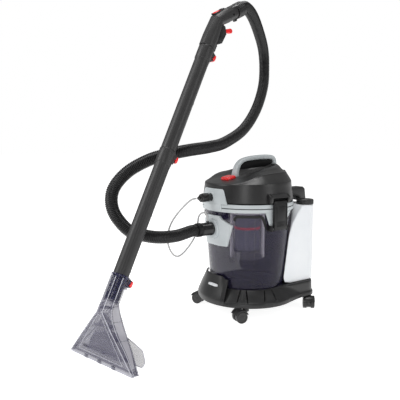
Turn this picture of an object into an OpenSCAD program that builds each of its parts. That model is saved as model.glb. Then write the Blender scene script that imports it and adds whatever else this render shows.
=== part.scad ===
// Carpet cleaner machine: a wheeled wet drum with a motor head, a clean water
// tank at the rear, a corrugated hose and a hand wand with a floor nozzle.
// Sizes in millimetres. +Z is up, the drum axis is the Z axis, the hose inlet
// faces -Y and the clean tank stands at +Y.

/* [Drum and base] */
// outer radius of the drum at its top edge
drum_top_r = 152; // [140:1:156]
// outer radius of the drum at its floor
drum_floor_r = 131; // [110:1:132]
// height of the drum's top edge above the ground
drum_top_z = 364; // [300:1:364]
// outer radius of the base skirt
skirt_r = 172; // [168:1:172]
// half width of the rear platform
plat_x = 138; // [130:1:142]
// rear edge of the rear platform
plat_y = 216; // [205:1:220]

/* [Head] */
// outer radius of the head's skirt
head_r = 160; // [156:1:160]
// width of the carrying handle
grip_w = 26; // [20:1:30]
// width of each side latch
latch_w = 62; // [50:1:64]
// filter radius over the pleats
filter_r = 44; // [38:1:44]

/* [Casters] */
// wheel radius
wheel_r = 20; // [16:1:20]
// wheel width
wheel_w = 13; // [10:1:14]
// distance from the stem to the axle
trail = 22; // [18:1:24]

/* [Clean tank] */
// half width of the tank
tank_x = 124; // [100:1:126]
// rear face of the tank
tank_y = 228; // [210:1:230]
// top of the tank
tank_top = 371; // [340:1:372]
// cap radius
cap_r = 31; // [26:1:31]

/* [Hose and wand] */
// hose radius over the ribs
hose_r = 20; // [16:1:21]
// radius of the thin solution tube
line_r = 2.5; // [2:0.5:3]
// wand tube radius
tube_r = 23; // [20:1:23]
// lean of the wand from upright, in degrees
lean = 28.4; // [20:0.1:35]
// half width of the nozzle mouth
mouth_x = 137; // [110:1:140]

/* [Hidden] */
$fn = 64;
inlet_z = 303;
conn_z = 410;
stem_r = 5;
stem_gap = 0.06;
plate_z = 87.8;
ring_top = 391;
grip_bend = 1108.5;
s_low = 265;
s_mid = 654;
s_top = 1010;
latch_px = 165;
latch_pz = 312;
hose_route = [[0, -222, 303], [1, -242, 303], [14, -282, 300], [32, -324, 300],
  [40, -380, 303], [36, -430, 312], [22, -484, 332], [-2, -522, 390], [-10, -520, 452],
  [-2, -476, 506], [20, -410, 544], [38, -340, 562], [44, -276, 572], [26, -186, 580],
  [-15, -92, 593], [-75, 38, 637], [-116, 132, 710], [-139, 186, 795], [-147, 200, 868],
  [-128, 176, 940], [-66, 95, 995], [-10, 18, 1029], [20, -36, 1041], [27.4, -58.9, 1033]];
line_route = [[0, -222, 410], [0, -247, 404], [-10, -287, 366], [-17, -314, 324],
  [-16, -324, 276], [-10, -312, 236], [-12, -286, 221], [-22, -248, 236], [-29, -210, 272],
  [-31, -196, 310], [-22, -196, 345], [-4, -190, 360], [0, -177, 350], [0, -175, 330]];

// which part to show

// ---------- helpers ----------
function drum_r(z) = drum_floor_r + (drum_top_r - drum_floor_r) * (z - 88) / (drum_top_z - 88);
function cat(a, b, c, d, t) = 0.5 * ((2 * b) + (c - a) * t
  + (2 * a - 5 * b + 4 * c - d) * t * t + (3 * b - a - 3 * c + d) * t * t * t);
function at(p, i) = p[max(0, min(len(p) - 1, i))];
function route(p, k) = [for (i = [0:len(p) - 2], j = [0:k - 1])
  cat(at(p, i - 1), p[i], p[i + 1], at(p, i + 2), j / k), p[len(p) - 1]];
function unit(v) = v / norm(v);

// round cord swept along a smooth line, its two end faces square to a and b
module cord(p, r, k, sides, a, b) {
  q = route(p, k);
  n = len(q);
  t = [for (i = [0:n - 1]) i == 0 ? unit(a) : i == n - 1 ? unit(b)
    : unit(q[i + 1] - q[i - 1])];
  pts = [for (i = [0:n - 1]) let (w = unit(cross(t[i], [1, 0.25, 0.1])), u = cross(w, t[i]))
    for (j = [0:sides - 1]) q[i] + r * (cos(360 * j / sides) * w + sin(360 * j / sides) * u)];
  faces = concat([[for (j = [0:sides - 1]) j]],
    [for (i = [0:n - 2], j = [0:sides - 1]) let (m = (j + 1) % sides)
      [i * sides + j, (i + 1) * sides + j, (i + 1) * sides + m, i * sides + m]],
    [[for (j = [0:sides - 1]) n * sides - 1 - j]]);
  polyhedron(points = pts, faces = faces, convexity = 10);
}

module rrect(w, d, r) {
  square([w - 2 * r, d], center = true);
  square([w, d - 2 * r], center = true);
  for (sx = [-1, 1], sy = [-1, 1]) translate([sx * (w / 2 - r), sy * (d / 2 - r)]) circle(r);
}
// extrude a (y,z) outline along X, from x0 to x1
module along_x(x0, x1) translate([x0, 0, 0]) rotate([90, 0, 90]) linear_extrude(x1 - x0) children();
// extrude an (x,z) outline along Y, from y0 to y1
module along_y(y0, y1) translate([0, y1, 0]) rotate([90, 0, 0]) linear_extrude(y1 - y0) children();
// rod along Y
module rod_y(r, y0, y1) translate([0, y0, 0]) rotate([-90, 0, 0]) cylinder(h = y1 - y0, r = r);
// rod along X
module rod_x(r, x0, x1) translate([x0, 0, 0]) rotate([0, 90, 0]) cylinder(h = x1 - x0, r = r);

// wand frames: mouth centre on the ground, then the wand axis
module in_w() translate([152, -645, 0]) rotate([0, 0, 12]) children();
module in_s() in_w() translate([0, -50.9, 0]) rotate([-lean, 0, 0]) children();
module in_g() in_s() translate([0, 0, grip_bend]) rotate([-36.2, 0, 0]) children();

// ---------- base ----------
stems = [[120, -104, -101], [-120, -104, -155], [122, 188, -40], [-122, 188, 120]];
module base_pan() color([0.09, 0.09, 0.1]) difference() {
  union() {
    rotate_extrude($fn = 96) polygon([[skirt_r - 4, 46], [skirt_r, 46], [skirt_r, 60],
      [skirt_r - 6, 66], [151, 86], [139, 100], [134.4, 100], [134.4, plate_z], [0, plate_z],
      [0, plate_z - 4], [146, plate_z - 4], [161, 64], [skirt_r - 4, 57]]);
    difference() {
      translate([0, plat_y - 100, 46]) linear_extrude(54) rrect(2 * plat_x, 200, 46);
      translate([0, plat_y - 100, 45]) linear_extrude(51) rrect(2 * plat_x - 8, 192, 42);
      cylinder(h = 140, r = 134.4);
    }
    intersection() {
      for (s = stems) translate([s[0], s[1], 46]) cylinder(h = 32, r = 16);
      union() {
        rotate_extrude($fn = 96) polygon([[0, 45], [171.5, 45], [171.5, 60], [157, 80], [0, 80]]);
        translate([0, plat_y - 100, 45]) linear_extrude(40) rrect(2 * plat_x, 200, 46);
      }
    }
  }
  for (s = stems) translate([s[0], s[1], 45]) cylinder(h = 31, r = stem_r + stem_gap);
  translate([0, 0, plate_z]) cylinder(h = 60, r = 134.4);
}
module base_cowl() color([0.11, 0.11, 0.12]) rotate([0, 0, -142]) rotate_extrude(angle = 76, $fn = 96)
  polygon([[172.1, 52], [176, 52], [176, 68], [147, 140], [144, 142], [141, 140], [141, 136],
    [172.1, 64]]);
module badge() color([0.75, 0.76, 0.78]) rotate([0, 0, 3.5]) translate([0, -158.4, 110])
  rotate([68, 0, 0]) linear_extrude(3.5) rrect(46, 10, 4);

// ---------- drum ----------
module drum() color([0.25, 0.22, 0.33, 0.5]) difference() {
  rotate_extrude($fn = 96) polygon([[0, 88], [drum_floor_r, 88], [drum_top_r, drum_top_z],
    [drum_top_r - 3, drum_top_z], [drum_floor_r - 2.8, 91], [0, 91]]);
  translate([0, 0, inlet_z]) rod_y(22.3, -170, -110);
}
module drum_ring() color([0.72, 0.74, 0.75]) {
  difference() {
    union() {
      rotate_extrude($fn = 96) polygon([[150, drum_top_z], [160, drum_top_z], [160, 375.5],
        [158.6, 376], [158.6, 378], [160, 378.5], [160, ring_top], [150, ring_top]]);
      for (a = [0, 180]) rotate([0, 0, a]) {
        intersection() {
          difference() {
            cylinder(h = drum_top_z + 1, r = 160, $fn = 96);
            cylinder(h = 400, r = 153.6, $fn = 96);
          }
          along_x(100, 170) polygon([[-76, 364.5], [-40, 318], [-40, 304], [40, 304],
            [40, 318], [76, 364.5]]);
        }
        for (s = [-1, 1]) translate([0, s * (latch_w / 2 + 3.5), 0])
          along_x(149, 171) translate([-3, 303]) square([6, 22]);
      }
    }
    difference() {
      translate([-49, -170, drum_top_z + 1]) cube([98, 60, 40]);
      cylinder(h = 500, r = 157.6, $fn = 96);
    }
    for (a = [0, 180]) rotate([0, 0, a]) translate([157.6, -latch_w / 2 - 0.4, 300])
      cube([10, latch_w + 0.8, 26]);
  }
  for (s = [-1, 1]) translate([s * latch_px, 0, latch_pz]) rod_y(2.5, -latch_w / 2 - 3.5,
    latch_w / 2 + 3.5);
}
module inlet_plate() color([0.72, 0.74, 0.75]) difference() {
  union() {
    intersection() {
      along_y(-170, -80) polygon([[-35, 350], [35, 350], [46, 338], [78, 320], [57, 247],
        [-57, 247], [-78, 320], [-46, 338]]);
      rotate_extrude($fn = 96) polygon([[drum_r(240) + 0.2, 240], [drum_r(240) + 5, 240],
        [drum_r(356) + 5, 356], [drum_r(356) + 0.2, 356]]);
    }
    difference() {
      translate([0, 0, inlet_z]) rod_y(34, -160, -120);
      rotate_extrude($fn = 96) polygon([[0, 200], [drum_r(200) + 0.2, 200],
        [drum_r(400) + 0.2, 400], [0, 400]]);
    }
  }
  translate([0, 0, inlet_z]) rod_y(22.1, -180, -80);
}
module inlet_deflector() color([0.2, 0.19, 0.24]) translate([0, 0, inlet_z]) {
  difference() {
    rod_y(26, -139, -112);
    rod_y(22.2, -140, -115);
    translate([-20, -141, -40]) cube([40, 24, 40]);
  }
}
module hose_cuff() color([0.1, 0.1, 0.11]) difference() {
  union() {
    translate([0, 0, inlet_z]) rod_y(22, -207, -140);
    translate([0, -175, inlet_z + 19]) cylinder(h = 8, r = 5, $fn = 32);
    translate([0, 0, inlet_z]) rod_y(22.6, -222, -205);
    for (i = [0:3]) translate([0, -220.5 + 4.3 * i, inlet_z]) rod_y(23.5, 0, 2);
  }
  translate([0, 0, inlet_z]) rod_y(18, -223, -139);
}
module hose() color([0.07, 0.07, 0.08]) cord(hose_route, hose_r, 3, 12, [0, -1, 0],
  [0.188, -0.883, -0.429]);
module solution_tube() color([0.85, 0.86, 0.88, 0.6]) cord(line_route, line_r, 5, 8, [0, -1, 0],
  [0, 0, -1]);

// ---------- head ----------
module dome(t) union() {
  rotate_extrude($fn = 96) polygon([[0, 391.2], [head_r - t, 391.2], [157 - t, 410], [153 - t, 440],
    [146 - t, 460 - t / 2], [131 - t / 2, 476 - t], [100, 490 - t], [57, 503 - t], [0, 508 - t]]);
  translate([0, 60, 0]) rotate_extrude($fn = 64) polygon([[0, 440], [98 - t, 440], [95 - t, 480],
    [85 - t, 505 - t / 2], [60, 522 - t], [30, 527 - t], [0, 528 - t]]);
}
// the sloping console with the switch, and the hand slot under the handle
module console(t) translate([0, -145, 456 - t]) rotate([11.6, 0, 0]) translate([-160 - t, -30, 0])
  cube([320 + 2 * t, 122 + t, 90]);
module slot(t) along_x(-170, 170) polygon([[-44 - t, 480 - t], [0, 484 - t], [45, 487 - t],
  [80 + t / 2, 500 - t], [106 + t, 519 - t], [112 + t, 560], [-44 - t, 560]]);
module in_console() translate([0, -145, 456]) rotate([11.6, 0, 0]) children();
module head_shell() color([0.12, 0.12, 0.13]) {
  shell_body();
  translate([-45, 0, 425]) difference() {
    rod_y(23, 130, 168);
    rod_y(19, 129, 169);
  }
}
module shell_body() difference() {
  dome(0);
  difference() {
    dome(3);
    console(3);
    slot(3);
  }
  console(0);
  slot(0);
  in_console() translate([0, 63, -20]) linear_extrude(40) rrect(39, 35, 8);
  translate([38, 0, 484]) rod_y(8.1, 90, 150);
  translate([38, 0, 484]) rod_y(10.2, 133.5, 150);
  elbow_body(0.05);
  translate([-45, 0, 425]) rod_y(20, 100, 172);
}
module latch_hoods() color([0.12, 0.12, 0.13]) difference() {
  for (a = [0, 180]) rotate([0, 0, a]) translate([0, 0, 411]) intersection() {
    translate([120, -42, 0]) cube([54, 84, 25]);
    along_y(-42, 42) polygon([[120, 0], [174, 0], [174, 14], [158, 25], [120, 25]]);
  }
  dome(-0.1);
}
module head_pan() color([0.16, 0.16, 0.17]) rotate_extrude($fn = 96) polygon([[32, 380], [145, 380],
  [145, 376], [148.5, 376], [148.5, 391.2], [156.5, 391.2], [156.5, 394], [145, 394], [145, 384],
  [32, 384]]);
module front_panel() color([0.7, 0.72, 0.73]) difference() {
  intersection() {
    along_y(-180, -100) polygon([[-48, 366], [48, 366], [48, 391], [70, 391], [66, 400],
      [52, 436], [46, 440.5], [-46, 440.5], [-52, 436], [-66, 400], [-70, 391], [-48, 391]]);
    rotate_extrude($fn = 96) polygon([[158, 366], [162, 366], [164, 388], [164, 392], [161.2, 411],
      [157.2, 440.5], [153.3, 440.5], [157.3, 410], [160.3, 391], [158, 391]]);
  }
  translate([0, 0, conn_z]) rod_y(14.05, -180, -100);
}
module quick_connector() color([0.06, 0.06, 0.07]) translate([0, 0, conn_z]) {
  rod_y(14, -204, -160.4);
  rod_y(11, -208, -204);
  rod_y(5, -222, -208);
}
module carry_handle() color([0.66, 0.68, 0.7]) along_x(-grip_w / 2, grip_w / 2)
  polygon([[-66, 472.4], [-64, 490], [-58, 508], [-48, 524], [-35, 535], [-10, 543], [40, 548],
    [90, 549], [112, 546], [122, 538], [126, 528], [126, 516], [107, 521], [103, 531],
    [60, 532], [0, 529], [-24, 524], [-38, 514], [-46, 498], [-50, 475.6]]);
module grip_insert() color([0.1, 0.1, 0.11]) along_x(-10.5, 10.5) polygon([[-44, 502],
  [-37.9, 513.9], [-24, 523.9], [0, 528.9], [60, 531.9], [102.8, 530.9], [104, 519], [92, 512],
  [70, 506], [20, 504], [-30, 500]]);
module cord_gland() color([0.08, 0.08, 0.09]) translate([38, 0, 484]) difference() {
  union() {
    rod_y(8, 104, 141);
    rod_y(10, 134, 138);
  }
  rod_y(4, 100, 150);
}
module elbow_body(t) along_x(22 - t, 57 + t) polygon([[132 - t, 396 - t], [132 - t, 430 + t],
  [216, 430 + t], [226, 422], [232 + t, 382], [230, 380 - t], [198 - t, 380 - t], [192 - t, 396 - t]]);
module tank_elbow() color([0.08, 0.08, 0.09]) difference() {
  elbow_body(0);
  along_x(27, 52) polygon([[128, 402], [128, 424], [212, 424], [219, 418], [224, 375], [206, 375],
    [200, 402]]);
}
module fan_housing() color([0.2, 0.2, 0.21]) difference() {
  translate([0, 0, 384.1]) cylinder(h = 22.9, r = 67);
  translate([0, 0, 380]) cylinder(h = 24, r = 64);
  cylinder(h = 500, r = 7);
}
module motor() color([0.5, 0.5, 0.52]) difference() {
  union() {
    translate([0, 0, 407]) cylinder(h = 42, r = 50);
    translate([0, 0, 449]) cylinder(h = 10, r = 26);
  }
  translate([0, 0, 400]) cylinder(h = 80, r = 4.06);
}
module fan_rotor() color([0.7, 0.7, 0.72]) {
  translate([0, 0, 386]) cylinder(h = 78, r = 4);
  translate([0, 0, 388]) cylinder(h = 2, r = 58);
  for (i = [0:7]) rotate([0, 0, 45 * i]) translate([3, -1, 389]) cube([53, 2, 10]);
}
module pump() color([0.3, 0.3, 0.32]) {
  translate([-118, 24, 384.1]) cube([40, 36, 30]);
  translate([-98, 42, 414.1]) cylinder(h = 14, r = 9);
}
// the cage of the float, and the clear basket that hangs round the filter
module float_cage() color([0.35, 0.33, 0.42, 0.6]) {
  difference() {
    union() {
      translate([0, 0, 336]) cylinder(h = 44, r = 34);
      translate([0, 0, 236]) cylinder(h = 4, r = 32);
      for (i = [0:3]) rotate([0, 0, 90 * i + 45]) translate([26, -3, 239]) cube([5, 6, 98]);
    }
    translate([0, 0, 330]) cylinder(h = 60, r = 27);
    translate([0, 0, 230]) cylinder(h = 20, r = 2.06);
  }
  rotate_extrude($fn = 96) polygon([[33, 343.3], [59, 343.3], [59, 187], [61, 187], [61, 345.3],
    [33, 345.3]]);
}
module float() color([0.85, 0.5, 0.2]) {
  translate([0, 0, 241]) cylinder(h = 26, r = 22);
  translate([0, 0, 220]) cylinder(h = 22, r = 2);
}
module filter_pleats() color([0.85, 0.85, 0.83]) translate([0, 0, 215]) difference() {
  linear_extrude(120) polygon([for (i = [0:95]) let (r = i % 2 == 0 ? filter_r - 4 : filter_r)
    [r * cos(i * 3.75), r * sin(i * 3.75)]]);
  translate([0, 0, -1]) cylinder(h = 130, r = 35);
}
module filter_flange() color([0.12, 0.12, 0.13]) difference() {
  translate([0, 0, 335]) cylinder(h = 8, r = 50);
  translate([0, 0, 330]) cylinder(h = 20, r = 34.05);
}
module filter_cap() color([0.12, 0.12, 0.13]) translate([0, 0, 207]) difference() {
  cylinder(h = 8, r = 47);
  translate([0, 0, -1]) cylinder(h = 10, r = 8);
}
module filter_band() color([0.75, 0.05, 0.06]) translate([0, 0, 288]) difference() {
  cylinder(h = 9, r = 46);
  translate([0, 0, -1]) cylinder(h = 12, r = filter_r + 0.05);
}
module power_switch() color([0.85, 0.08, 0.08]) in_console() translate([0, 63, 0]) {
  translate([0, 0, -8]) linear_extrude(15) rrect(38, 34, 8);
  translate([0, 0, 7]) linear_extrude(2) rrect(34, 30, 8);
}

// ---------- casters ----------
// stem on the Z axis, axle at x = trail
module caster_at(i) translate([stems[i][0], stems[i][1], 0]) rotate([0, 0, stems[i][2]]) children();
module caster() color([0.1, 0.1, 0.11]) difference() {
  union() {
    translate([0, 0, 30]) cylinder(h = 44, r = stem_r);
    translate([0, 0, 36]) cylinder(h = 9.4, r = 11);
    translate([0, -6, 26]) cube([trail, 12, 15]);
    translate([trail, 0, wheel_r]) rod_y(17, -6, 6);
    intersection() {
      translate([trail, 0, wheel_r]) difference() {
        rod_y(24.5, -20, 20);
        rod_y(21.3, -6, -30 + 60);
        rod_y(21.3, -30, 6);
      }
      along_y(-20, 20) polygon([[trail, wheel_r], [trail + 30, wheel_r + 12], [trail + 30, 60],
        [trail - 30, 60], [trail - 30, wheel_r + 12]]);
    }
    intersection() {
      translate([trail, 0, wheel_r]) rod_y(24.5, -6, 6);
      along_y(-6, 6) polygon([[trail, wheel_r], [trail + 30, wheel_r + 12], [trail + 30, 60],
        [trail - 30, 60], [trail - 30, wheel_r + 12]]);
    }
  }
  translate([trail, 0, wheel_r]) rod_y(3.06, -30, 30);
}
module wheels() color([0.13, 0.13, 0.14]) translate([trail, 0, wheel_r]) {
  rod_y(3, -18, 18);
  for (s = [-1, 1]) translate([0, s * 13.4, 0]) {
    rod_y(wheel_r, -wheel_w / 2, wheel_w / 2);
  }
}
module caster_fr() caster_at(0) caster();
module caster_fl() caster_at(1) caster();
module caster_rr() caster_at(2) caster();
module caster_rl() caster_at(3) caster();
module wheels_fr() caster_at(0) wheels();
module wheels_fl() caster_at(1) wheels();
module wheels_rr() caster_at(2) wheels();
module wheels_rl() caster_at(3) wheels();

// ---------- side latches ----------
module latch() color([0.07, 0.07, 0.08]) difference() {
  union() {
    translate([latch_px, 0, latch_pz]) rod_y(6, -latch_w / 2, latch_w / 2);
    along_y(-latch_w / 2, latch_w / 2) polygon([[161.5, 330], [latch_px - 3, latch_pz],
      [latch_px + 3, 308], [172, 310], [173, 330], [171, 404], [162.5, 404]]);
  }
  translate([latch_px, 0, latch_pz]) rod_y(2.56, -50, 50);
}
module latch_right() latch();
module latch_left() rotate([0, 0, 180]) latch();

// ---------- clean tank ----------
module tank_body(t) intersection() {
  along_x(-tank_x + t, tank_x - t) polygon([[96 + t, 100.3 + t], [72 + t, 106 + t], [60 + t, 126],
    [62 + t, 170], [71 + t, 220], [85 + t, 270], [102 + t, 312], [126 + t, 345], [150 + t, tank_top - t],
    [tank_y - t, tank_top - t], [tank_y - t, 100.3 + t]]);
  difference() {
    translate([0, tank_y - t - 150, 90]) linear_extrude(300) rrect(2 * (tank_x - t), 300, 42 - t);
    rotate_extrude($fn = 96) polygon([[0, 80], [drum_r(80) + 4 + t, 80], [drum_r(350) + 4 + t, 350],
      [163 + t, 352], [163 + t, 400], [0, 400]]);
  }
}
module clean_tank() color([0.93, 0.94, 0.95, 0.9]) difference() {
  union() {
    tank_body(0);
    translate([90, 194, tank_top - 2]) cylinder(h = 12, r = 23);
  }
  tank_body(3);
  translate([90, 194, tank_top - 10]) cylinder(h = 40, r = 20);
  translate([39, 206, tank_top - 10]) cylinder(h = 40, r = 9);
}
module tank_cap() color([0.08, 0.08, 0.09]) translate([90, 194, 0]) difference() {
  translate([0, 0, tank_top + 0.3]) cylinder(h = 18, r = cap_r);
  translate([0, 0, tank_top - 1]) cylinder(h = 12, r = 23.4);
  for (i = [0:17]) rotate([0, 0, 20 * i]) translate([cap_r + 0.8, 0, tank_top]) cylinder(h = 30, r = 2,
    $fn = 24);
}

// ---------- wand ----------
// pad, ears and pin that carry a latch lever below the joint line s0
module lever_seat(s0, y0) {
  translate([-12, y0 - 9, s0 - 34]) cube([24, 9, 33]);
  for (s = [-1, 1]) translate([s * 10.7 - 1.3, y0 - 1, s0 - 16]) cube([2.6, 8, 12]);
  translate([0, y0 + 4.5, s0 - 10]) rod_x(1.6, -11, 11);
}
module lever_body(s0, y0) color([0.1, 0.1, 0.11]) in_s() difference() {
  along_x(-9, 9) polygon([[y0 + 2.2, s0 - 27], [y0 + 9, s0 - 25], [y0 + 10, s0 - 14], [y0 + 8, s0 - 5],
    [y0 + 2.2, s0 - 3]]);
  translate([0, y0 + 4.5, s0 - 10]) rod_x(1.66, -20, 20);
}
module tab_body(s0, y0) color([0.85, 0.08, 0.08]) in_s() along_x(-9, 9) polygon([[y0 + 9, s0 - 25],
  [y0 + 12, s0 - 25.5], [y0 + 13.5, s0 - 14], [y0 + 11, s0 - 4.8], [y0 + 8, s0 - 5], [y0 + 10, s0 - 14]]);
module lever_top() lever_body(s_top, 28);
module lever_mid() lever_body(s_mid, 28);
module lever_low() lever_body(s_low, 31);
module tab_top() tab_body(s_top, 28);
module tab_mid() tab_body(s_mid, 28);
module tab_low() tab_body(s_low, 31);
module wand_tube(s0, s1, sp) difference() {
  union() {
    translate([0, 0, s0]) cylinder(h = s1 - s0, r = tube_r);
    translate([0, 0, s1 - 46]) cylinder(h = 46, r = 24.6);
    translate([0, 0, s0 - sp]) cylinder(h = sp, r = 20.3);
    translate([0, 21.5, s0 + 8]) cylinder(h = s1 - s0 - 46, r = 7, $fn = 32);
    lever_seat(s1, 28);
  }
  translate([0, 0, s0 - sp - 1]) cylinder(h = sp + 2, r = 18);
  translate([0, 0, s0]) cylinder(h = s1 - s0 + 2, r = 20.4);
}
module lower_tube() color([0.13, 0.13, 0.14]) in_s() wand_tube(s_low, s_mid, 78);
module upper_tube() color([0.13, 0.13, 0.14]) in_s() wand_tube(s_mid, s_top, 40);
module handle_outer(t) {
  translate([0, -1, s_top]) cylinder(h = grip_bend - s_top, r = 25.5 + t);
  translate([0, -1, grip_bend]) sphere(r = 25.5 + t);
  translate([0, 0, grip_bend]) rotate([-36.2, 0, 0]) cylinder(h = 96, r = 21 + t);
}
module handle_body() color([0.11, 0.11, 0.12]) difference() {
  union() {
    in_s() {
      handle_outer(0);
      translate([0, 0, s_top - 40]) cylinder(h = 41, r = 20.3);
    }
    in_g() {
      translate([-9, -25, -4]) cube([18, 8, 48]);
      translate([-7, -28.5, 33]) cube([14, 5, 6]);
      translate([-5, 16, 82]) cube([10, 12, 13]);
    }
  }
  in_g() translate([-7.6, -34, -14]) cube([15.2, 9.2, 46.9]);
  in_s() translate([0, 0, s_top - 41]) cylinder(h = grip_bend - s_top + 41, r = 17);
  in_s() translate([0, 0, grip_bend]) sphere(r = 17);
  in_g() cylinder(h = 102, r = 17);
}
module air_slider() color([0.85, 0.08, 0.08]) in_g() {
  translate([-7, -27.6, -2]) cube([14, 2.5, 26]);
  for (i = [0:3]) translate([-7, -28.4, 1 + 6 * i]) cube([14, 1, 2]);
}
module valve_box() color([0.1, 0.1, 0.11]) in_s() {
  difference() {
    along_x(-13, 13) polygon([[10, 1037], [30, 1037], [47, 1054], [51.5, 1092], [36, 1109], [10, 1109]]);
    handle_outer(0.05);
    along_x(-6.5, 6.5) polygon([[31, 1085], [60, 1085], [60, 1125], [31, 1125]]);
  }
  translate([0, 41, 1098]) rod_x(2, -9, 9);
}
module trigger() color([0.85, 0.08, 0.08]) in_s() difference() {
  along_x(-6, 6) polygon([[34, 1092], [44, 1090.5], [50, 1099], [57, 1107], [61, 1110.5], [65, 1109.5],
    [69.5, 1111.5], [73, 1116], [73.5, 1121], [71, 1125], [66, 1126.5], [60, 1124], [53, 1118],
    [44, 1109.5], [36, 1104]]);
  translate([0, 41, 1098]) rod_x(2.06, -20, 20);
}
module hose_collar() color([0.09, 0.09, 0.1]) in_g() difference() {
  union() {
    translate([0, 0, 96.05]) cylinder(h = 38.9, r = 24);
    for (i = [0:4]) translate([0, 0, 104 + 6 * i]) cylinder(h = 3, r = 24.8);
  }
  translate([0, 0, 80]) cylinder(h = 60, r = 18);
}
module nozzle_neck() color([0.35, 0.33, 0.45, 0.5]) in_s() difference() {
  union() {
    translate([0, 0, 176.05]) cylinder(h = s_low - 176.05, r = 26);
    lever_seat(s_low, 31);
  }
  translate([0, 0, 170]) cylinder(h = 120, r = 22.1);
}
module nozzle_body() color([0.35, 0.33, 0.45, 0.5]) difference() {
  hull() {
    in_s() translate([0, 0, 171]) cylinder(h = 5, r = 26, $fn = 32);
    in_w() translate([-mouth_x, -9, 3]) cube([2 * mouth_x, 22, 10]);
  }
  hull() {
    in_s() translate([0, 0, 170]) cylinder(h = 9, r = 22, $fn = 32);
    in_w() translate([4 - mouth_x, -5, 2]) cube([2 * mouth_x - 8, 14, 12]);
  }
}
module mouth_lip() color([0.3, 0.28, 0.38, 0.7]) in_w() difference() {
  union() {
    translate([-mouth_x - 1, -11, 0]) cube([2 * mouth_x + 2, 26, 3]);
    for (i = [-1:1]) translate([61 * i - 7, -12, 0]) cube([14, 3, 3]);
  }
  translate([4 - mouth_x, -5, -1]) cube([2 * mouth_x - 8, 14, 5]);
}
module spray_guard() color([0.8, 0.8, 0.84, 0.4]) in_w() {
  translate([0, 48, 0]) rotate([-16.7, 0, 0]) along_y(-1.5, 1.5) polygon([[-113, 4], [113, 4],
    [122, 20], [104, 47], [40, 64], [-40, 64], [-104, 47], [-122, 20]]);
  difference() {
    translate([-34, 20, 58]) cube([68, 46, 4]);
    translate([0, 48, 0]) rotate([-16.7, 0, 0]) translate([-60, 1.4, 0]) cube([120, 30, 90]);
    hull() {
      translate([0, -50.9, 0]) rotate([-lean, 0, 0]) translate([0, 0, 171])
        cylinder(h = 5, r = 26.1, $fn = 32);
      translate([-mouth_x, -9, 3]) cube([2 * mouth_x, 22, 10]);
    }
  }
}
module spray_jet() color([0.15, 0.15, 0.16]) in_w() translate([0, 48, 34]) difference() {
  union() {
    cylinder(h = 24, r = 6, $fn = 32);
    translate([-10, -4, 14]) cube([20, 8, 10]);
  }
  translate([0, 0, -1]) cylinder(h = 10, r = 1.5, $fn = 24);
}

base_pan();
base_cowl();
badge();
drum();
drum_ring();
inlet_plate();
inlet_deflector();
hose_cuff();
hose();
solution_tube();
hose_collar();
handle_body();
valve_box();
upper_tube();
lower_tube();
nozzle_neck();
nozzle_body();
mouth_lip();
spray_guard();
spray_jet();
head_shell();
latch_hoods();
head_pan();
front_panel();
quick_connector();
carry_handle();
grip_insert();
cord_gland();
tank_elbow();
fan_housing();
motor();
pump();
float_cage();
filter_pleats();
filter_flange();
filter_cap();
filter_band();
power_switch();
fan_rotor();
float();
caster_fr();
caster_fl();
caster_rr();
caster_rl();
wheels_fr();
wheels_fl();
wheels_rr();
wheels_rl();
latch_right();
latch_left();
trigger();
air_slider();
lever_top();
lever_mid();
lever_low();
tab_top();
tab_mid();
tab_low();
clean_tank();
tank_cap();
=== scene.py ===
import math
import bpy
import bmesh
from mathutils import Matrix, Vector


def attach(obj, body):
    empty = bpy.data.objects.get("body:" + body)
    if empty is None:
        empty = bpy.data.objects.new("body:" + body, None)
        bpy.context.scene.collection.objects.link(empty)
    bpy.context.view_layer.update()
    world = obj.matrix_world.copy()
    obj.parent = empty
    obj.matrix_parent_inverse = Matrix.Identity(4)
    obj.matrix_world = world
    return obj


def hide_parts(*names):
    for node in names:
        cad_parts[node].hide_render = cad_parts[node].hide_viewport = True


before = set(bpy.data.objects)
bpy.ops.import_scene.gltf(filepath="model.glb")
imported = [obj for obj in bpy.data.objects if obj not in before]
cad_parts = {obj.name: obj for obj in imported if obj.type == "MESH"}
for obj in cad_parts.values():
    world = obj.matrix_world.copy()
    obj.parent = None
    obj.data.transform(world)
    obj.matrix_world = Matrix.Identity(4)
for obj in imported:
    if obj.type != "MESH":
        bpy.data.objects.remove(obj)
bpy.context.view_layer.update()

MM = 0.001
sc = bpy.context.scene
rad = math.radians


# ---- camera
cam_data = bpy.data.cameras.new("camera")
camera = bpy.data.objects.new("camera", cam_data)
sc.collection.objects.link(camera)
sc.camera = camera
cam_data.sensor_width = 36
cam_data.lens = 49.68
cam_data.clip_start, cam_data.clip_end = 0.05, 60
camera.location = (1.4938, -1.2534, 0.628)
camera.rotation_mode = "QUATERNION"
camera.rotation_quaternion = Vector((-0.8127, 0.5697, -0.1219)).to_track_quat("-Z", "Y")


# ---- small maths
def lerp(a, b, t):
    return a + (b - a) * t


def ease(t):
    t = max(0.0, min(1.0, t))
    return t * t * (3 - 2 * t)


def read(pts, x):
    """Piecewise linear value at x of a list of (x, y)."""
    if x <= pts[0][0]:
        return pts[0][1]
    for (a, u), (b, v) in zip(pts, pts[1:]):
        if x <= b:
            return lerp(u, v, (x - a) / (b - a))
    return pts[-1][1]


def catmull(pts, k):
    """A smooth line through points of any size, k steps to a span."""
    p = [Vector(q) for q in pts]
    out = []
    for i in range(len(p) - 1):
        a, b, c, d = p[max(0, i - 1)], p[i], p[i + 1], p[min(len(p) - 1, i + 2)]
        for j in range(k):
            t = j / k
            out.append(0.5 * (2 * b + (c - a) * t + (2 * a - 5 * b + 4 * c - d) * t * t
                              + (3 * b - a - 3 * c + d) * t ** 3))
    out.append(p[-1])
    return out


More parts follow.
